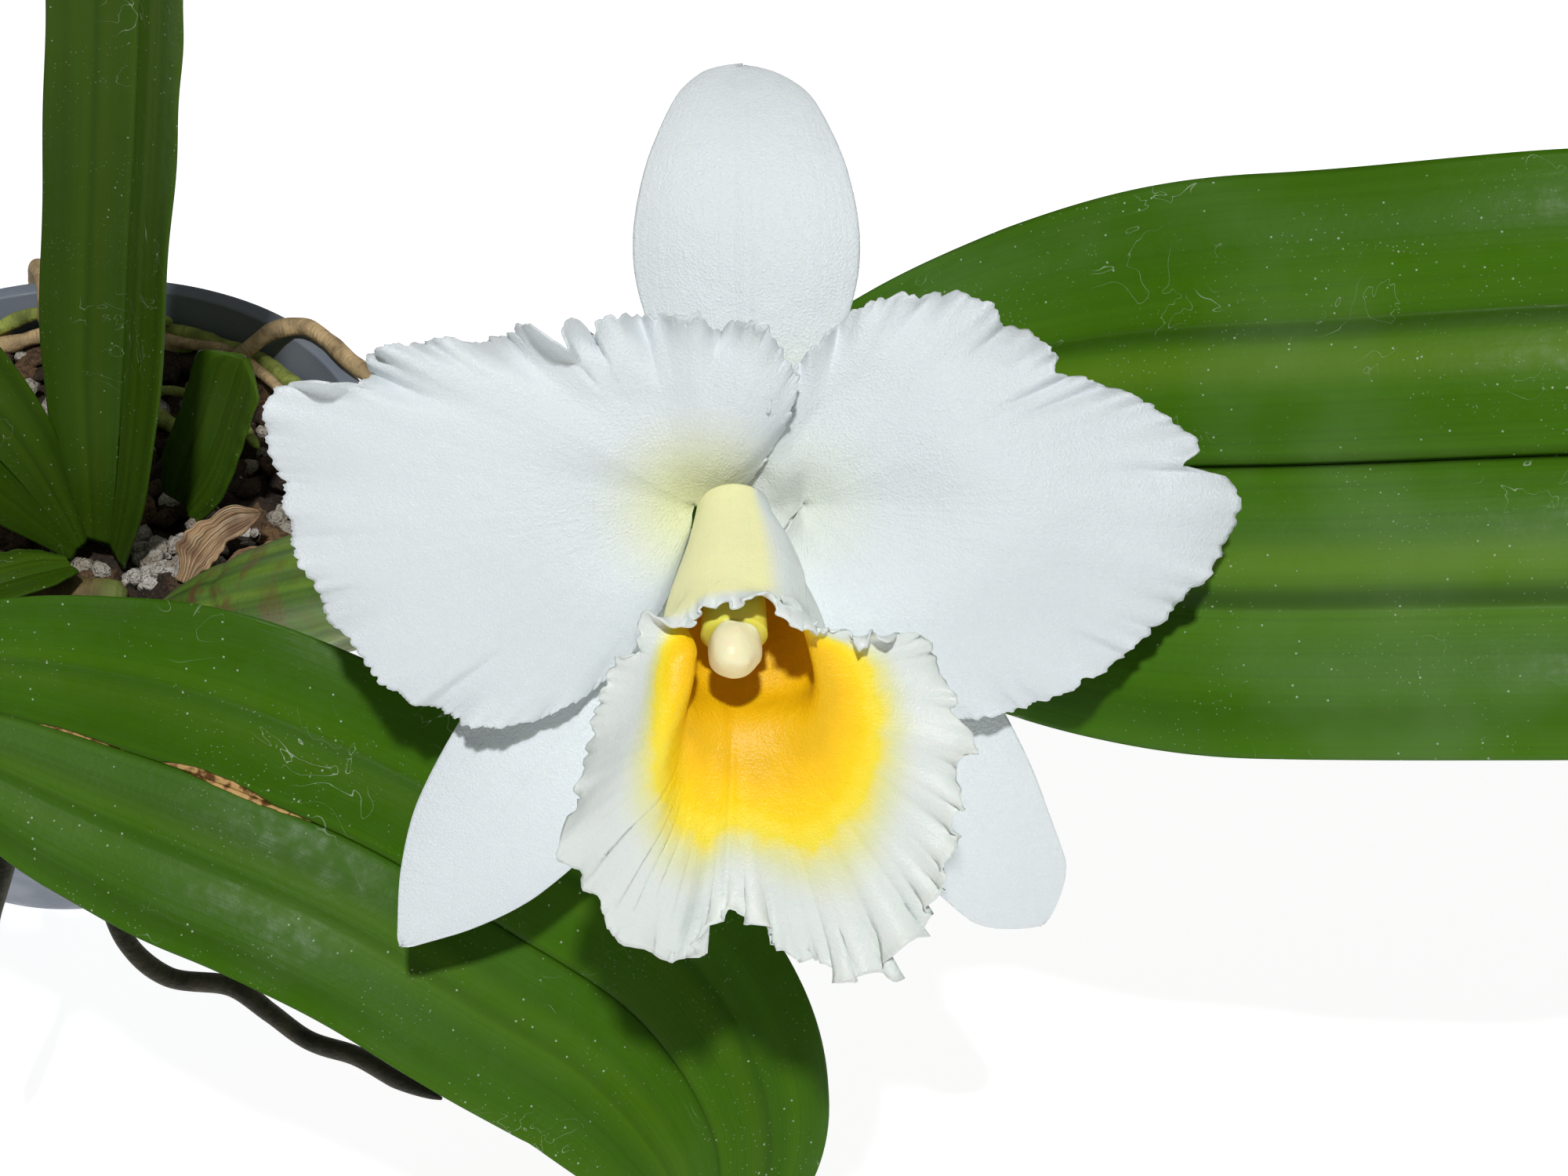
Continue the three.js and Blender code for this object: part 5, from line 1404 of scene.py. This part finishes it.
class ORCHID_OT_petals(bpy.types.Operator):
    """Make the two broad ruffled petals"""

    bl_idname = "orchid.petals"
    bl_label = "Petals"
    bl_options = {"REGISTER", "UNDO"}

    def execute(self, context):
        settings = context.scene.orchid_flower
        white = tepal_finish("white_petal", tuple(settings.petal), tuple(settings.petal_foot))
        for name, petal in PETALS.items():
            middle, thick, foot = self.petal(petal, settings)
            piece = sheet(name + "_fine", flower_place(middle, settings), thick, tint=foot)
            finished(piece, white, "tepal_white", name)
        return {"FINISHED"}

    @staticmethod
    def petal(petal, settings):
        """A fan of veins: each leaves the foot at its own angle and reaches as far as the outline there.
        The face bows forwards along a vein by a sine and falls back towards its tip, and the edge waves
        by sines of the length along the edge, fully only near the edge, with small teeth on it."""
        rows, columns = PETAL_GRID
        side = petal["side"]
        reach_at = line_through(petal["reach"])
        low, high = petal["reach"][0][0], petal["reach"][-1][0]
        t = (np.linspace(0, 1, rows) ** 0.8)[:, None]
        a = np.linspace(high, low, columns) if side > 0 else np.linspace(low, high, columns)
        reach = reach_at(a)
        edge = np.stack([reach * np.cos(np.radians(a)), reach * np.sin(np.radians(a))], 1)
        run = run_along(edge)[None, :]
        a, reach = a[None, :], reach[None, :]
        seed = 160 + side
        notch = sum(depth * bump_at(a, at, width) for at, depth, width in petal["notches"])
        upper = smooth(8, 25, a) * smooth(128, 105, a)
        wave = settings.ruffle / MM * (0.45 + petal["bays"] * upper)
        teeth = 0.32 * wander(run * 4.5, 0, seed + 1, 2) + 0.45 * wander(run * 0.9, 0, seed + 5, 2)
        trim = teeth * smooth(0.86, 1, t) - notch * smooth(0.55, 1, t)
        distance = PETAL_FOOT + (reach + trim - PETAL_FOOT) * t
        rise = PETAL_RISE * np.minimum(reach / FULL_VEIN, 1) * np.sin(math.pi * t * 0.8)
        fall = petal["fall"] * t**2.6 * (0.55 + 0.45 * np.cos(np.radians(np.clip(a * 1.4, -150, 150))))
        ruffle = t**7 * wander(run * 0.33, 2 * t, seed + 2) * 2.0 + t**16 * wander(run * 1.1, t, seed + 3)
        ruffle = wave * ruffle + 0.75 * notch * t**9
        body = 2.5 * wander(reach * t * 0.09, a * 0.045, seed + 4) * smooth(0.1, 0.6, t)
        veins = 0.012 * np.sin(a * 1.9) * smooth(0.05, 0.3, t)
        foot = -1.0 * smooth(6, 0, distance)
        folds = sum(
            depth * bump_at(a, at, width) * smooth(near, near + 0.3, t)
            for at, depth, width, near in petal["creases"]
        )
        lean = petal["lean"] * smooth(0, 70, a) * smooth(150, 110, a) * t**1.6
        z = petal["layer"] + rise - fall + ruffle + body + veins + foot - folds + lean
        x = side * (PETAL_BASE + distance * np.cos(np.radians(a)))
        middle = point(x, distance * np.sin(np.radians(a)), z)
        thick = settings.petal_thickness / MM * (1.3 - 0.9 * t**2) + 0 * a
        # the foot tint is the petals' own yellow-green, made much stronger on the left petal as painted shade
        # near the lip's hood
        return middle, thick, smooth(14.0, 1.0, distance) * (0.75 if side < 0 else 0.2)


class ORCHID_OT_lip(bpy.types.Operator):
    """Make the frilled lip"""

    bl_idname = "orchid.lip"
    bl_label = "Lip"
    bl_options = {"REGISTER", "UNDO"}

    def execute(self, context):
        settings = context.scene.orchid_flower
        middle, thick, throat, hood = self.lip(settings)
        piece = sheet("lip_fine", lip_place(middle, settings), thick, throat=throat, hood=hood)
        white = lip_finish("frilled_lip", tuple(settings.lip), tuple(settings.throat), tuple(settings.hood))
        finished(piece, white, "lip_white", "lip")
        return {"FINISHED"}

    @staticmethod
    def lip(settings):
        """A tube round the column that opens into a limb. At each turn round the tube, the surface is a
        Catmull-Rom curve through four stations of the tube and one at the limb's edge. The frill is
        added along the surface's normal and grows towards the edge."""
        rows, columns = LIP_GRID
        turn = np.linspace(LIP_SEAM + LIP_OVERLAP / 2, LIP_SEAM - LIP_OVERLAP / 2 - 360, columns)
        wrapped = np.where(turn < -180, turn + 360, turn)
        # the tube goes from the hood's measures above to the floor's below, with a fold that stands up on
        # one side and a bowl on the other
        low = smooth(150, 40, np.abs(wrapped))
        along_tube = HOOD_LENGTH + (FLOOR_LENGTH - HOOD_LENGTH) * low
        crest = bump_at(wrapped, -70, 34)
        bowl = bump_at(wrapped, 62, 46)
        mouth = HOOD_RADIUS + (FLOOR_RADIUS - HOOD_RADIUS) * low - 1.6 * crest + 2.6 * bowl
        lapped = 1.1 * smooth(-195, -235, turn) - 0.5 * smooth(110, 135, turn)
        edge_along, edge_reach = LIMB_ALONG(wrapped), LIMB_REACH(wrapped)
        stations = [
            (0 * turn, LIP_BASE_RADIUS + 0 * turn),
            (along_tube * 0.35, LIP_BASE_RADIUS + 0.4 * (mouth - LIP_BASE_RADIUS)),
            (along_tube * 0.7, LIP_BASE_RADIUS + 0.8 * (mouth - LIP_BASE_RADIUS) + 1.8 * crest + 1.4 * bowl),
            (along_tube, mouth),
            (edge_along, edge_reach),
        ]
        p = np.array([stations[0], *stations, stations[-1]])
        share = np.linspace(0, 1, rows) ** 0.85 * 4
        span = np.minimum(share.astype(int), 3)
        u = (share - span)[:, None, None]
        a, b, c, d = p[span], p[span + 1], p[span + 2], p[span + 3]
        curve = cubic(b, c, (c - a) / 2, (d - b) / 2, u)
        along, radius = curve[:, 0], curve[:, 1]
        # teeth and frill grow over the last part of the way, from the tube's mouth to the edge
        limb = smooth(2.6, 4.0, share)[:, None]
        edge_x = edge_reach * np.sin(np.radians(turn))
        edge_y = edge_reach * np.cos(np.radians(turn))
        run = run_along(np.stack([edge_x, edge_y, edge_along], 1))[None, :]
        margin = np.clip(share - 3, 0, 1)[:, None]
        teeth = margin**3 * (1.3 * wander(run * 0.55, 0, 201, 3) + 0.55 * wander(run * 2.6, 0, 202, 2))
        cleft = 1.8 * bump_at(wrapped, -3, 3.5)[None, :] * margin**4
        radius = radius + teeth - cleft + lapped[None, :] * smooth(0.2, 1.2, share)[:, None]
        hooded = smooth(100, 135, np.abs(wrapped))[None, :]
        along = along + 1.3 * hooded * margin**2 * wander(run * 0.75, 0, 206, 1)
        angle = np.radians(turn)[None, :]
        middle = point(radius * np.sin(angle), -radius * np.cos(angle), along)
        broad = smooth(8, 26, edge_reach)[None, :]
        height = settings.frill / MM * (0.5 + 0.5 * broad)
        frill = height * 1.15 * margin**2.5 * wander(run * 0.3, share[:, None] * 0.8, 203, 1)
        crimp = margin ** (5 - 3 * hooded) * wander(run * 0.95, share[:, None], 204, 1)
        frill = frill + height * crimp * (0.75 + 0.4 * hooded)
        frill = frill + height * margin**9 * wander(run * 2.4, share[:, None], 205, 2) * 0.3
        keel = 1.1 * bump_at(wrapped, -3, 4)[None, :] * limb
        fold_at = (3.0 + 0.55 * smooth(-85, -15, turn))[None, :]
        beyond = share[:, None] - fold_at
        fold = 3.6 * bump_at(beyond, 0, np.where(beyond < 0, 0.16, 0.4))
        fold = fold * (smooth(-125, -95, turn) * smooth(-4, -26, turn))[None, :]
        frill = frill - keel + fold
        middle = middle + facing_of(middle) * frill[..., None]
        thick = LIP_THICK - (LIP_THICK - EDGE_THICK) * limb + 0 * frill
        throat = smooth(0, -0.68, share[:, None] - 3.68 + 0.22 * crest[None, :])
        throat = throat * smooth(150, 95, np.abs(wrapped))[None, :]
        hood = smooth(4.0, 3.0, share[:, None]) * smooth(-60, -120, turn)[None, :]
        return middle, thick, throat, hood * smooth(-235, -190, turn)[None, :]


class ORCHID_OT_column(bpy.types.Operator):
    """Make the column and its anther cap"""

    bl_idname = "orchid.column"
    bl_label = "Column"
    bl_options = {"REGISTER", "UNDO"}

    def execute(self, context):
        settings = context.scene.orchid_flower
        waxy = column_finish("waxy_column", colour("e4dc58"), colour("cfd04a"))
        turn = round_turn(COLUMN_SIDES)
        path = through(
            [[0, 0.4, 0.6], [0, COLUMN_RISE, COLUMN_LENGTH / 2], [0, COLUMN_RISE, COLUMN_LENGTH]], COLUMN_ROWS
        )
        t = np.linspace(0, 1, COLUMN_ROWS)[:, None]
        oval = 1 + 0.3 * np.abs(np.sin(turn)) ** 2
        radius = COLUMN_RADIUS * (0.95 + 0.25 * t) * oval * rounded(1 - t, 30, 0.3)
        piece = tube("column_fine", lip_place(rod(path, radius, COLUMN_SIDES), settings))
        finished(piece, waxy, "column_cream", "column")
        start = COLUMN_LENGTH + 3 * GAP
        path = through(
            [[0, COLUMN_RISE, start], [0, COLUMN_RISE + 0.5, start + ANTHER_LENGTH / 2]]
            + [[0, COLUMN_RISE - 0.3, start + ANTHER_LENGTH]],
            ANTHER_ROWS,
        )
        t = np.linspace(0, 1, ANTHER_ROWS)[:, None]
        ragged = 1 + 0.1 * wander(3 * t, 2.5 * np.cos(turn), 41) + 0.07 * wander(5 * t, 5 * np.sin(turn), 42)
        tall = 1 + 0.24 * np.cos(turn) ** 2
        radius = COLUMN_RADIUS * 1.2 * tall * np.sqrt(np.maximum(1 - t**4, 0.02)) * ragged
        cap = column_finish("anther_cream", tuple(settings.column), tuple(settings.column))
        piece = tube("anther_fine", lip_place(rod(path, radius, COLUMN_SIDES), settings))
        finished(piece, cap, "column_cream", "anther_cap")
        return {"FINISHED"}


class ORCHID_OT_stalk(bpy.types.Operator):
    """Make the flower's stalk and the spathe it came out of"""

    bl_idname = "orchid.stalk"
    bl_label = "Stalk"
    bl_options = {"REGISTER", "UNDO"}

    def execute(self, context):
        settings = context.scene.orchid_flower
        fresh = stalk_finish("fresh_stalk", tuple(settings.stalk))
        bulb = BULBS["pseudobulb_flowering"]
        top = np.array(bulb["top"])
        middle = flower_place(np.array([[0.0, 0, -12], [0, 0, -RECEPTACLE_FRONT]]), settings) - ON_GROUND
        points = [*end_of(bulb, STALK_SIDE_STEP), *[top + step for step in STALK_STEPS], *middle]
        rows, sides = STALK_GRID
        t = np.linspace(0, 1, rows)[:, None]
        cup = (RECEPTACLE_RADIUS - 1.4 * STALK_RADIUS) * smooth(0.9, 1, t)
        radius = STALK_RADIUS * (0.8 + 0.6 * t) + cup
        radius = radius * (1 + 0.04 * np.cos(6 * round_turn(sides))) * rounded(1 - t, 60, 0.5)
        piece = tube("stalk_fine", rod(through(points, rows), radius, sides) + ON_GROUND)
        finished(piece, fresh, "stalk_green", "flower_stalk")
        rows, columns = SPATHE_GRID
        path = through([top + step for step in SPATHE["steps"]], rows)
        surface = leaf_middle(path, SPATHE, columns, 150)
        finished(sheet("spathe_fine", surface + ON_GROUND, SPATHE_THICK), fresh, "stalk_green", "spathe")
        return {"FINISHED"}


# ---------------------------------------------------------------- stage


class ORCHID_OT_stage(bpy.types.Operator):
    """Make the floor, the lights and the camera"""

    bl_idname = "orchid.stage"
    bl_label = "Stage"
    bl_options = {"REGISTER", "UNDO"}

    def execute(self, context):
        scene = context.scene
        settings = scene.orchid_stage
        corners = np.array([[0, 0], [1, 0], [1, 1], [0, 1]], float)
        x, y = (2 * corners.T - 1) * FLOOR_HALF / MM
        floor = new_mesh("floor", point(x, y, 0), [np.array([[0, 1, 2, 3]])], corners, {})
        floor.data.materials.append(floor_finish("pale_floor", tuple(settings.floor)))

        camera = bpy.data.cameras.new("camera")
        camera.lens, camera.sensor_width, camera.clip_start = settings.lens, SENSOR_WIDTH, CLIP_START
        eye = bpy.data.objects.new("camera", camera)
        eye.location = EYE
        eye.rotation_euler = (math.pi / 2 - settings.camera_elevation, 0, 0)
        scene.collection.objects.link(eye)
        scene.camera = eye

        place = np.array(KEY_AIM) + KEY_DISTANCE * self.towards(KEY_AZIMUTH, KEY_ELEVATION)
        self.lamp(scene, "key", place, KEY_AIM, KEY_SIZE, settings.key)
        self.lamp(scene, "overhead", OVERHEAD_PLACE, OVERHEAD_AIM, OVERHEAD_SIZE, settings.fill)
        scene.world = self.even_light(settings.sky)
        scene.view_settings.view_transform = "Standard"
        return {"FINISHED"}

    @staticmethod
    def even_light(strength):
        """A world that lights every side evenly, and is plain white where it is looked at directly."""
        world = bpy.data.worlds.new("even_light")
        world.use_nodes = True
        nodes, links = world.node_tree.nodes, world.node_tree.links
        sky = nodes["Background"]
        sky.inputs["Color"].default_value = (1.0, 1.0, 1.0, 1.0)
        seen, sight = nodes.new("ShaderNodeLightPath"), nodes.new("ShaderNodeMapRange")
        sight.inputs["To Min"].default_value = strength
        links.new(seen.outputs["Is Camera Ray"], sight.inputs["Value"])
        links.new(sight.outputs[0], sky.inputs["Strength"])
        return world

    @staticmethod
    def towards(azimuth, elevation):
        """The direction from the object to something at this azimuth, in front at 0, and elevation."""
        a, e = math.radians(azimuth), math.radians(elevation)
        return np.array([math.sin(a) * math.cos(e), -math.cos(a) * math.cos(e), math.sin(e)])

    @staticmethod
    def lamp(scene, name, place, aim, size, power):
        """A square soft lamp at a place, turned to face a point."""
        light = bpy.data.lights.new(name, "AREA")
        light.size, light.energy = size, power
        lamp = bpy.data.objects.new(name, light)
        lamp.location = Vector(place)
        lamp.rotation_euler = (Vector(aim) - Vector(place)).to_track_quat("-Z", "Y").to_euler()
        scene.collection.objects.link(lamp)


MAKERS = (
    ORCHID_OT_stage,
    ORCHID_OT_pot,
    ORCHID_OT_mix,
    ORCHID_OT_bulbs,
    ORCHID_OT_sheaths,
    ORCHID_OT_leaves,
    ORCHID_OT_new_growth,
    ORCHID_OT_roots,
    ORCHID_OT_sepals,
    ORCHID_OT_petals,
    ORCHID_OT_lip,
    ORCHID_OT_column,
    ORCHID_OT_stalk,
)
SETTINGS = {
    "orchid_pot": OrchidPotSettings,
    "orchid_plant": OrchidPlantSettings,
    "orchid_flower": OrchidFlowerSettings,
    "orchid_stage": OrchidStageSettings,
}


class ORCHID_PT_panel(bpy.types.Panel):
    """Lists the pieces and their settings"""

    bl_idname = "ORCHID_PT_panel"
    bl_label = "Potted Orchid"
    bl_space_type = "VIEW_3D"
    bl_region_type = "UI"
    bl_category = "Orchid"

    def draw(self, context):
        """Shows each group of settings in a box, and then a button for each operator."""
        for name, group in SETTINGS.items():
            box = self.layout.box()
            box.label(text=group.__doc__)
            for key in group.__annotations__:
                box.prop(getattr(context.scene, name), key)
        for maker in MAKERS:
            self.layout.operator(maker.bl_idname)


CLASSES = (*SETTINGS.values(), *MAKERS, ORCHID_PT_panel)


def register():
    """Registers the classes and hangs the settings on the scene."""
    for cls in CLASSES:
        bpy.utils.register_class(cls)
    for name, group in SETTINGS.items():
        setattr(bpy.types.Scene, name, PointerProperty(type=group))


def unregister():
    """Takes the settings and the classes away again."""
    for name in SETTINGS:
        delattr(bpy.types.Scene, name)
    for cls in reversed(CLASSES):
        bpy.utils.unregister_class(cls)


def main():
    """Registers the add-on and makes every piece in order."""
    register()
    for maker in MAKERS:
        group, operator = maker.bl_idname.split(".")
        getattr(getattr(bpy.ops, group), operator)()


if __name__ == "__main__":
    main()
